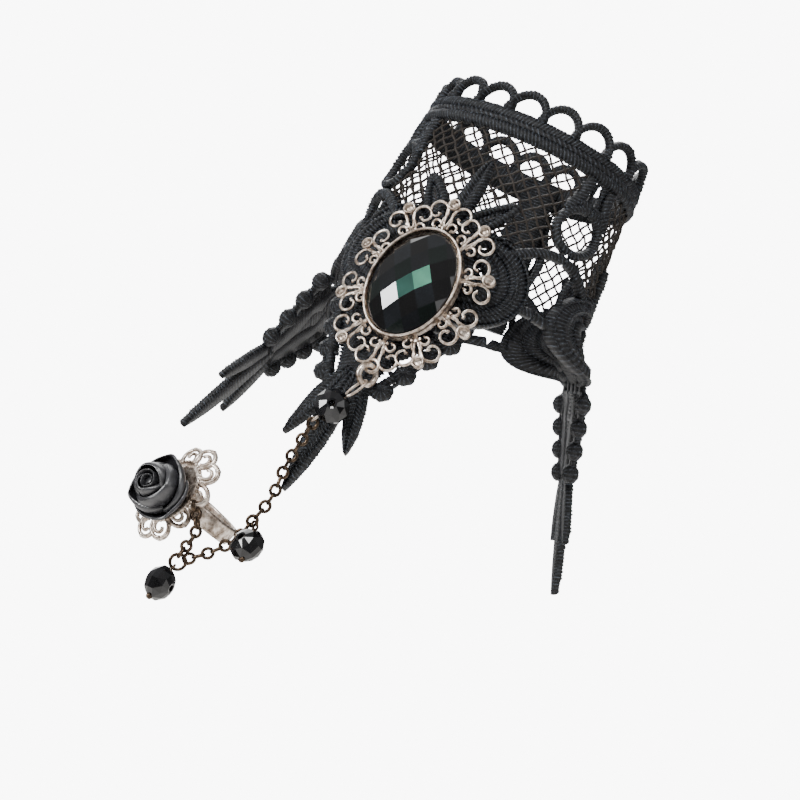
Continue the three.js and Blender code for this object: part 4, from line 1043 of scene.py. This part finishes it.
# A rim round an oval from its profile of (reach beyond the oval, height)
def ovalSweep(name, halfWidth, halfLength, profile, steps, material):
    def section(turn):
        return [((halfWidth + reach) * math.cos(turn), (halfLength + reach) * math.sin(turn), height)
                for reach, height in profile]

    return sweptMesh(name, steps, section, material)


def broochMeshes():
    lines, cups = [], []
    curl = scrollLine()
    outerRadii = np.array([brooch["halfWidth"], brooch["halfLength"]])
    innerRadii = np.array([brooch["bezelHalfWidth"], brooch["bezelHalfLength"]]) - brooch["footInset"]
    for i in range(brooch["units"]):
        angle = brooch["firstUnit"] * degrees + 2 * math.pi * i / brooch["units"]
        ray = np.array([math.sin(angle), math.cos(angle)])
        end, foot = outerRadii * ray, innerRadii * ray
        stretch = np.linalg.norm(end - foot) / scroll["unitLength"]
        way = (end - foot) / np.linalg.norm(end - foot)
        across = np.array([way[1], -way[0]])

        def put(x, y):
            return foot + across * x * scroll["spread"] + way * y * stretch

        for side in (1, -1):
            for rows, height in ((curl, 0.5 + 0.03 * side), (scroll["stem"], 0.62)):
                lines.append({"path": [(*put(side * x, y), height, brooch["wire"] * t) for x, y, t in rows]})
        trunk = [(*put(0, -0.4), 0.5, 1.1), (*put(0, 0.8), 0.55, 1.0), (*put(0, 1.5), 0.7, 1.35)]
        lines.append({"path": trunk})
        for x, y, size in scroll["grains"]:
            lines.append({"path": [(*(put(x, y) + way * shift), 0.7, size) for shift in (-0.25, 0.25)]})
        if i == brooch["units"] // 2:
            tip = end
        else:
            cups.append((*end, 0.0, 1.0))
    wires = wireMesh("filigree", lines, antiqueSilver)
    radius, height = brooch["cupDiameter"] / 2, brooch["cupHeight"]
    cup = turnedShape("cup", [
        (0, 0), (radius * 0.8, 0), (radius, 0.35), (radius, height - 0.25), (radius - 0.12, height),
        (radius - 0.36, height - 0.05), (radius - 0.42, height - 0.9), (0.35, height - 1.1),
        (0, height - 1.05),
    ], 20, antiqueSilver)
    cupMesh = scatteredMesh("cups", cups, cup, antiqueSilver)
    bpy.data.objects.remove(cup)
    wide, long = brooch["bezelHalfWidth"], brooch["bezelHalfLength"]
    rim = ovalSweep("bezel", wide, long, brooch["bezelProfile"], 96, antiqueSilver)
    eyeRadius = (brooch["eyeletHole"] + brooch["eyeletWire"]) / 2
    eye = [(*(tip + polar(eyeRadius, turn)), 0.46, 0.92) for turn in fullTurn(24)]
    eyelet = wireMesh("eyelet", [{"path": eye, "closed": True}], antiqueSilver)
    edge = wide - brooch["floorInset"]
    floorProfile = [(0, 0.1), (edge, 0.1), (edge, 0.75), (0, 0.75)]
    plate = ovalSweep("bezel floor", 0.02, 0.02, floorProfile, 64, antiqueSilver)
    return [wires, cupMesh, rim, eyelet], plate


silverParts, bezelFloor = broochMeshes()


# The floor of the bezel is an oval plate
def stretchedPlate(points):
    grown = points.copy()
    inset = brooch["floorInset"]
    grown[:, 1] *= (brooch["bezelHalfLength"] - inset) / (brooch["bezelHalfWidth"] - inset)
    return grown


broochMesh = joinedMesh("brooch", silverParts + [movedMesh(bezelFloor, stretchedPlate)])
movedMesh(broochMesh, lambda points: placeBrooch(drooped(points)))
addPiece("brooch_filigree", broochMesh, ["brooch_frame"])
print("brooch made")


# The stone is ground from an oval blank: one flat cut for each lozenge of its crown

# a row of three crown facets holds painted reflections: a pale painted highlight on the facet
# that mirrors the key lamp, then a teal one and a green one
paintedFacetReflections = {(-1, 0): "#8f93a0", (0, 0): "#2c4f47", (1, 0): "#528c76"}
darkTints = ["#050506", "#0b0b0c", "#121417", "#080808", "#171a1e", "#091210"]


# Tints each face for the glass, and makes the mesh in metres
def glassMesh(name, made, tintOf):
    foil = made.loops.layers.float_color.new("foil")
    for face in made.faces:
        for loop in face.loops:
            loop[foil] = linearColour(tintOf(face))
    for vertex in made.verts:
        vertex.co *= millimetre
    mesh = bpy.data.meshes.new(name)
    made.to_mesh(mesh)
    made.free()
    mesh.materials.append(cutGlass)
    return mesh


def stoneMesh():
    halfWide, halfLong = stone["width"] / 2, stone["length"] / 2
    rise = stone["crown"] - stone["girdleHigh"]
    turns = [2 * math.pi * i / stone["sides"] for i in range(stone["sides"])]
    blank = bmesh.new()
    rings = []
    for height, share in ((stone["base"], 0.95), (stone["girdleLow"], 1.0), (stone["crown"] + 0.5, 1.0)):
        rings.append([
            blank.verts.new((halfWide * share * math.cos(turn), halfLong * share * math.sin(turn), height))
            for turn in turns
        ])
    blank.faces.new(list(reversed(rings[0])))
    blank.faces.new(rings[-1])
    for low, high in zip(rings, rings[1:]):
        for i in range(stone["sides"]):
            after = (i + 1) % stone["sides"]
            blank.faces.new((low[i], low[after], high[after], high[i]))
    slope = math.atan(halfWide / halfLong)
    wayA = np.array([math.sin(slope), math.cos(slope)]) * stone["facetSide"]
    wayB = np.array([-math.sin(slope), math.cos(slope)]) * stone["facetSide"]

    def raised(point):
        dome = 1 - (point[0] / halfWide) ** 2 - (point[1] / halfLong) ** 2
        return np.array([*point, stone["girdleHigh"] + rise * dome])

    facets = {}
    reach = range(-stone["facetsEachWay"], stone["facetsEachWay"] + 1)
    outer = (halfWide + stone["cutMargin"][0], halfLong + stone["cutMargin"][1])
    for a, b in itertools.product(reach, repeat=2):
        centre = np.array(stone["facetOffset"]) + wayA * a + wayB * b
        if (centre[0] / outer[0]) ** 2 + (centre[1] / outer[1]) ** 2 > 1:
            continue
        corners = [raised(centre + wayA * s + wayB * t) for s, t in ((-0.5, -0.5), (0.5, -0.5), (-0.5, 0.5))]
        normal = np.cross(corners[1] - corners[0], corners[2] - corners[0])
        normal *= np.sign(normal[2]) / np.linalg.norm(normal)
        facets[(a, b)] = normal
        geometry = blank.verts[:] + blank.edges[:] + blank.faces[:]
        cut = bmesh.ops.bisect_plane(
            blank, geom=geometry, plane_co=Vector(corners[0]), plane_no=Vector(normal), clear_outer=True,
            dist=1e-5,
        )
        rim = [edge for edge in cut["geom_cut"] if isinstance(edge, bmesh.types.BMEdge)]
        if rim:
            bmesh.ops.edgeloop_fill(blank, edges=rim)
    bmesh.ops.remove_doubles(blank, verts=blank.verts, dist=0.004)
    bmesh.ops.recalc_face_normals(blank, faces=blank.faces)

    def tintOf(face):
        if face.normal.z <= 0.2:
            return darkTints[0]
        best = max(facets, key=lambda key: facets[key].dot(np.array(face.normal)))
        if facets[best].dot(np.array(face.normal)) <= 0.9999:
            return darkTints[0]
        return paintedFacetReflections.get(best, darkTints[(best[0] * 3 + best[1] * 5) % len(darkTints)])

    return glassMesh("stone", blank, tintOf)


addPiece("brooch_stone_cut", movedMesh(stoneMesh(), placeBrooch), ["brooch_stone"])
print("stone made")


# Faceted glass beads, set along the bore of the solid that they stand for

bead = {
    "diameter": 7.8, "length": 6.0, "bore": 1.5, "sides": 10, "tints": ["#08080a", "#141417", "#1b1a1c"],
}


def beadMesh(node):
    source = frame["nodes"][node].data
    points = np.array([vertex.co for vertex in source.vertices]) / millimetre
    centre = points.mean(axis=0)
    ways = np.linalg.eigh(np.cov((points - centre).T))[1]
    axis = Vector(ways[:, 0])
    side = Vector(ways[:, 2])
    side = (side - axis * side.dot(axis)).normalized()
    other = axis.cross(side)
    radius, half, bore = bead["diameter"] / 2, bead["length"] / 2, bead["bore"] / 2
    # radius, height and how far each ring is turned, in sides
    profile = [
        (bore, -half + 0.1, 0), (bore + 0.45, -half, 0), (radius * 0.72, -half * 0.72, 0.5),
        (radius, -half * 0.2, 0), (radius, half * 0.2, 0), (radius * 0.72, half * 0.72, 0.5),
        (bore + 0.45, half, 0), (bore, half - 0.1, 0),
    ]
    made = bmesh.new()
    rings = []
    for reach, height, turn in profile:
        ring = []
        for i in range(bead["sides"]):
            angle = 2 * math.pi * (i + turn) / bead["sides"]
            place = Vector(centre) + side * reach * math.cos(angle) + other * reach * math.sin(angle)
            ring.append(made.verts.new(place + axis * height))
        rings.append(ring)
    rings.append(rings[0])
    for k, (low, high) in enumerate(zip(rings, rings[1:])):
        for i in range(bead["sides"]):
            after = (i + 1) % bead["sides"]
            if k in (1, 4):
                corners = [(low[i], low[after], high[i]), (low[after], high[after], high[i])]
            elif k in (2, 5):
                corners = [(low[i], low[after], high[after]), (low[i], high[after], high[i])]
            else:
                corners = [(low[i], low[after], high[after], high[i])]
            for face in corners:
                made.faces.new(face)
    bmesh.ops.recalc_face_normals(made, faces=made.faces)
    made.faces.ensure_lookup_table()
    return glassMesh("bead", made, lambda face: bead["tints"][face.index % 3])


for number in ("1", "2", "3"):
    addPiece(f"glass_bead_{number}", beadMesh(f"bead_{number}"), [f"bead_{number}"])
print("beads made")


# Wire pieces keep the course of their solids, with the wire made round

def roundedWire(node, material, levels=2, proud=0.08):
    merged = cleaned(frame["nodes"][node].data, bpy.data.meshes.new(node), merge=2e-6, outward=False)
    carrier = linked(node + "_round", merged)
    addSmoothing(carrier, levels)
    result = appliedMesh(carrier)
    places = np.zeros(len(result.vertices) * 3, np.float32)
    normals = np.zeros(len(result.vertices) * 3, np.float32)
    result.vertices.foreach_get("co", places)
    result.vertex_normals.foreach_get("vector", normals)
    result.vertices.foreach_set("co", places + normals * np.float32(proud * millimetre))
    result.update()
    result.polygons.foreach_set("use_smooth", np.ones(len(result.polygons), bool))
    result.materials.clear()
    result.materials.append(material)
    return addPiece(node + "_wire", result, [node], outward=False)


roundedWire("chain_long", gunmetalWire, levels=1, proud=0.15)
roundedWire("chain_short", gunmetalWire, levels=1, proud=0.15)
roundedWire("pin_1", antiqueSilver)
roundedWire("pin_2", gunmetalWire)
roundedWire("pin_3", gunmetalWire)
roundedWire("jump_ring", antiqueSilver, proud=0.34)
print("chains and pins made")


# The finger ring: x along its bore, z out through its plate

ring = {
    "bore": 17.4, "shankWidth": 4.0, "shankThickness": 1.1, "shankSteps": 72,
    "axis": (-0.664, 0, -0.749), "face": (-0.475, -0.766, 0.427), "place": (-76.5, -33.5, -71.4),
    "baseLength": 24.4, "baseWidth": 16.4, "plateLength": 15.0, "plateWidth": 11.0,
    "petals": 10, "petalDiameter": 5.4, "petalWire": 0.9, "droop": 2.0,
    "grainProfile": [(0, -0.5), (0.36, -0.34), (0.5, 0), (0.36, 0.34), (0, 0.5)],
    "plateProfile": [(-3.2, 0.1), (0.6, 0.05), (1.0, 0.3), (1.0, 0.7), (0.7, 0.95), (0.2, 0.9), (-3.2, 0.8)],
}


def ringFrame():
    axis = Vector(ring["axis"]).normalized()
    face = Vector(ring["face"])
    face = (face - axis * face.dot(axis)).normalized()
    side = face.cross(axis)
    ways = np.array([axis, side, face])
    return lambda points: np.array(ring["place"]) + points @ ways


def rimDroop(points):
    reach = np.hypot(points[:, 0] / (ring["baseLength"] / 2), points[:, 1] / (ring["baseWidth"] / 2))
    lower = points.copy()
    lower[:, 2] -= ring["droop"] * np.clip(reach - 0.5, 0, None) ** 1.4 * 2
    return lower


placeRing = ringFrame()


def ringMeshes():
    lines, dots = [], []
    radius = (ring["petalDiameter"] - ring["petalWire"]) / 2
    inset = ring["petalDiameter"] / 2
    base = np.array([ring["baseLength"] / 2, ring["baseWidth"] / 2])
    for i in range(ring["petals"]):
        angle = 2 * math.pi * i / ring["petals"]
        centre = (base - inset) * polar(1, angle)
        loop = [(*(centre + polar(radius, t)), 0.45, 1.0) for t in fullTurn(22)]
        heart = [(*(centre + polar(radius * (0.72 - 0.09 * t), angle + math.pi + t)), 0.5, 0.8)
                 for t in np.linspace(0.2, 1.5 * math.pi, 14)]
        lines += [{"path": loop, "closed": True}, {"path": heart}]
        dots.append((*(centre + polar(radius, angle)), 0.5, 1.25))
        dots.append((*((base - 2.2) * polar(1, angle + math.pi / ring["petals"])), 0.5, 1.0))
    wires = wireMesh("ring rim", lines, antiqueSilver)
    grain = turnedShape("grain", ring["grainProfile"], 10, antiqueSilver)
    half = np.array([ring["plateLength"] / 2, ring["plateWidth"] / 2])
    dots += [(*(half * polar(1, turn)), 0.95, 0.8) for turn in fullTurn(46)]
    grains = scatteredMesh("ring grains", dots, grain, antiqueSilver)
    bpy.data.objects.remove(grain)
    plate = ovalSweep("ring plate", *(half - 1.0), ring["plateProfile"], 56, antiqueSilver)
    ringRadius = (ring["bore"] + ring["shankThickness"]) / 2
    wide, thick = ring["shankWidth"] / 2, ring["shankThickness"] / 2
    profile = [
        (-wide, -thick * 0.7), (-wide * 0.8, -thick), (wide * 0.8, -thick), (wide, -thick * 0.7),
        (wide, thick * 0.5), (wide * 0.7, thick * 0.95), (0, thick), (-wide * 0.7, thick * 0.95),
        (-wide, thick * 0.5),
    ]

    def section(turn):
        spots = [(x, *polar(ringRadius + reach, turn)) for x, reach in profile]
        return [(x, y, z - ringRadius + 0.25) for x, y, z in spots]

    shank = sweptMesh("shank", ring["shankSteps"], section, antiqueSilver)
    return [wires, grains, plate], shank


rimParts, shankMesh = ringMeshes()
rimMesh = movedMesh(joinedMesh("ring rim", rimParts), rimDroop)
ringMesh = movedMesh(joinedMesh("finger ring", [rimMesh, shankMesh]), placeRing)
addPiece("finger_ring", ringMesh, ["ring_base"])
print("finger ring made")


# The rose: a rolled heart of satin ribbon with folded petals wrapped round it

rose = {
    "offset": (1.4, -0.7, 0.0), "base": 1.25, "ribbon": 0.32, "heartTurns": 1.9, "heartRadius": 2.2,
    "heartTop": 9.6, "heartSteps": 64, "heartRows": 6, "petalSteps": 37, "petalRows": 9,
    "wallRows": 6, "stagger": 0.05, "foldAt": 0.2, "lipTurn": 125,
    "heartProfile": [(0, 1.25), (4.6, 1.25), (4.9, 2.0), (2.4, 5.5), (1.6, 7.6), (0, 7.8)],
}
# Where each starts and how far it wraps in degrees, its radius at start and end, the height of its top edge,
# how far it leans out (or in, below zero), its rolled lip and how far its folded corner stands out
rosePetals = [
    {"turn": 200, "span": 300, "radii": (2.5, 3.3), "top": 9.5, "lean": -0.8, "lip": 0.22, "corner": 0.0},
    {"turn": 75, "span": 285, "radii": (3.7, 4.5), "top": 9.1, "lean": -1.0, "lip": 0.28, "corner": 0.15},
    {"turn": 320, "span": 255, "radii": (4.8, 5.4), "top": 8.1, "lean": -1.1, "lip": 0.3, "corner": 0.5},
    {"turn": 190, "span": 235, "radii": (5.4, 5.9), "top": 6.6, "lean": -0.8, "lip": 0.32, "corner": 0.9},
    {"turn": 60, "span": 225, "radii": (6.2, 6.7), "top": 5.3, "lean": -0.3, "lip": 0.34, "corner": 1.0},
    {"turn": 290, "span": 215, "radii": (6.4, 6.8), "top": 4.0, "lean": 0.1, "lip": 0.34, "corner": 0.9},
]


# One sheet of ribbon from its columns of (point, place in the weave)
def ribbonSheet(made, layer, columns):
    grid = [[made.verts.new([value * millimetre for value in point]) for point, stitch in column]
            for column in columns]
    for i in range(len(columns) - 1):
        for j in range(len(columns[0]) - 1):
            around = ((i, j), (i + 1, j), (i + 1, j + 1), (i, j + 1))
            face = made.faces.new([grid[a][b] for a, b in around])
            face.smooth = True
            for loop, (a, b) in zip(face.loops, around):
                loop[layer].uv = columns[a][b][1]


def roseMesh():
    made = bmesh.new()
    layer = made.loops.layers.uv.new("stitch")
    columns = []
    for share in np.linspace(0, 1, rose["heartSteps"]):
        angle = rose["heartTurns"] * 2 * math.pi * share
        radius = 0.35 + (rose["heartRadius"] - 0.35) * share ** 0.8
        top = rose["heartTop"] - 1.1 * (1 - share) + 0.15 * math.sin(3 * angle)
        column = []
        for up in np.linspace(0, 1, rose["heartRows"]):
            height = rose["base"] + (top - rose["base"]) * up
            reach = radius + 0.22 * up ** 4
            column.append(((*polar(reach, angle), height), (angle * radius, height)))
        columns.append(column)
    ribbonSheet(made, layer, columns)
    for number, petal in enumerate(rosePetals):
        columns = []
        for share in np.linspace(0, 1, rose["petalSteps"]):
            side = 2 * share - 1
            angle = (petal["turn"] + petal["span"] * share) * degrees
            radius = petal["radii"][0] + (petal["radii"][1] - petal["radii"][0]) * share
            corner = petal["corner"] * math.exp(-abs((side - rose["foldAt"]) / 0.2) ** 1.4)
            fold = 0.18 * math.exp(-((side - rose["foldAt"]) / 0.12) ** 2)
            fold -= 0.12 * math.exp(-((side + 0.35) / 0.2) ** 2)
            top = rose["base"] + (petal["top"] - rose["base"]) * (1 - 0.4 * abs(side) ** 2.4) + 0.3 * corner
            column = []
            for j in range(rose["petalRows"]):
                up = min(j / rose["wallRows"], 1)
                rise = math.sin(up * math.pi / 2) ** 0.9
                height = rose["base"] + rose["stagger"] * number + (top - rose["base"]) * rise
                reach = radius * (0.72 + 0.28 * min(up * 2.6, 1)) + petal["lean"] * up ** 3
                reach += corner * up ** 1.5 + fold * up + 0.35 * math.sin(math.pi * up)
                if j > rose["wallRows"]:
                    roll = (j - rose["wallRows"]) / 2 * rose["lipTurn"] * degrees
                    lip = petal["lip"] * (1 - 0.5 * abs(side) ** 4)
                    reach += lip * math.sin(roll) * 0.9
                    height += lip * (math.cos(roll) - 1) * 0.8
                reach *= 1 - 0.1 * abs(side) ** 6
                column.append(((*polar(reach, angle), height), (angle * radius, height)))
            columns.append(column)
        ribbonSheet(made, layer, columns)
    bmesh.ops.recalc_face_normals(made, faces=made.faces)
    mesh = bpy.data.meshes.new("rose")
    made.to_mesh(mesh)
    made.free()
    mesh.materials.append(satinRibbon)
    carrier = linked("rose ribbon", mesh)
    wall = carrier.modifiers.new("thickness", "SOLIDIFY")
    wall.thickness = rose["ribbon"] * millimetre
    wall.offset = 0
    addSmoothing(carrier, 2)
    petals = appliedMesh(carrier)
    heart = turnedShape("rose heart", rose["heartProfile"], 24, satinRibbon)
    core = heart.data
    bpy.data.objects.remove(heart)
    return joinedMesh("rose", [petals, core])


roseWhole = roseMesh()
addPiece("ribbon_rose", movedMesh(roseWhole, lambda points: placeRing(points + np.array(rose["offset"]))),
         ["ring_rose"], outward=False)
bpy.data.objects.remove(ballShape)
print("rose made")


# Studio: the camera, a pale floor far below the hanging piece, and large soft lamps

view = {"place": (-28.22, -601.06, -51.59), "lens": 118.8, "sensor": 36.0}
floorPlate = {"half": 900, "level": -300}
# the key lamp is small and far to the left, where one facet of the stone mirrors it
lamps = [
    {"name": "key", "place": (-0.998, -0.542, 0.468), "size": 0.34, "power": 15.0},
    {"name": "front", "place": (-0.13, -0.75, 0.92), "size": 0.36, "power": 11.0},
    {"name": "fill", "place": (0.9, -0.6, 0.25), "size": 0.8, "power": 4.0},
    {"name": "top", "place": (0.1, 0.75, 1.0), "size": 0.9, "power": 9.0},
    {"name": "back", "place": (-0.3, 0.9, 0.4), "size": 0.8, "power": 6.0},
]
target = Vector((-0.03, -0.01, -0.04))

cameraData = bpy.data.cameras.new("camera")
cameraData.lens = view["lens"]
cameraData.sensor_width = view["sensor"]
camera = linked("camera", cameraData)
camera.location = [value * millimetre for value in view["place"]]
camera.rotation_euler = (math.pi / 2, 0, 0)
bpy.context.scene.camera = camera

half, level = floorPlate["half"], floorPlate["level"]
floorCorners = [(-half, -half, level), (half, -half, level), (half, half, level), (-half, half, level)]
floor = linked("floor", builtMesh("floor", floorCorners, [(0, 1, 2, 3)], studioCard))

for row in lamps:
    lampData = bpy.data.lights.new(row["name"], "AREA")
    lampData.shape = "SQUARE"
    lampData.size = row["size"]
    lampData.energy = row["power"]
    lamp = linked(row["name"], lampData)
    lamp.location = row["place"]
    lamp.rotation_euler = (target - Vector(row["place"])).to_track_quat("-Z", "Y").to_euler()

world = bpy.data.worlds.new("studio")
world.use_nodes = True
# seen directly the studio is white, and it lights the piece more from above than from the sides
sky = world.node_tree
seen = addNode(sky, "ShaderNodeLightPath")
way = addNode(sky, "ShaderNodeTexCoord")
height = addNode(sky, "ShaderNodeSeparateXYZ", {"Vector": way.outputs["Generated"]})
glow = addNode(sky, "ShaderNodeMapRange", {
    "Value": height.outputs["Z"], "From Min": -0.3, "From Max": 0.9, "To Min": 0.08, "To Max": 0.5,
})
# inputs 2 and 3 of the mix are its two values
mix = {"Factor": seen.outputs["Is Camera Ray"], 2: glow, 3: 9.0}
strength = addNode(sky, "ShaderNodeMix", mix, data_type="FLOAT")
feed(sky, sky.nodes["Background"], {"Color": linearColour("#ffffff"), "Strength": strength})
bpy.context.scene.world = world
print("studio made")
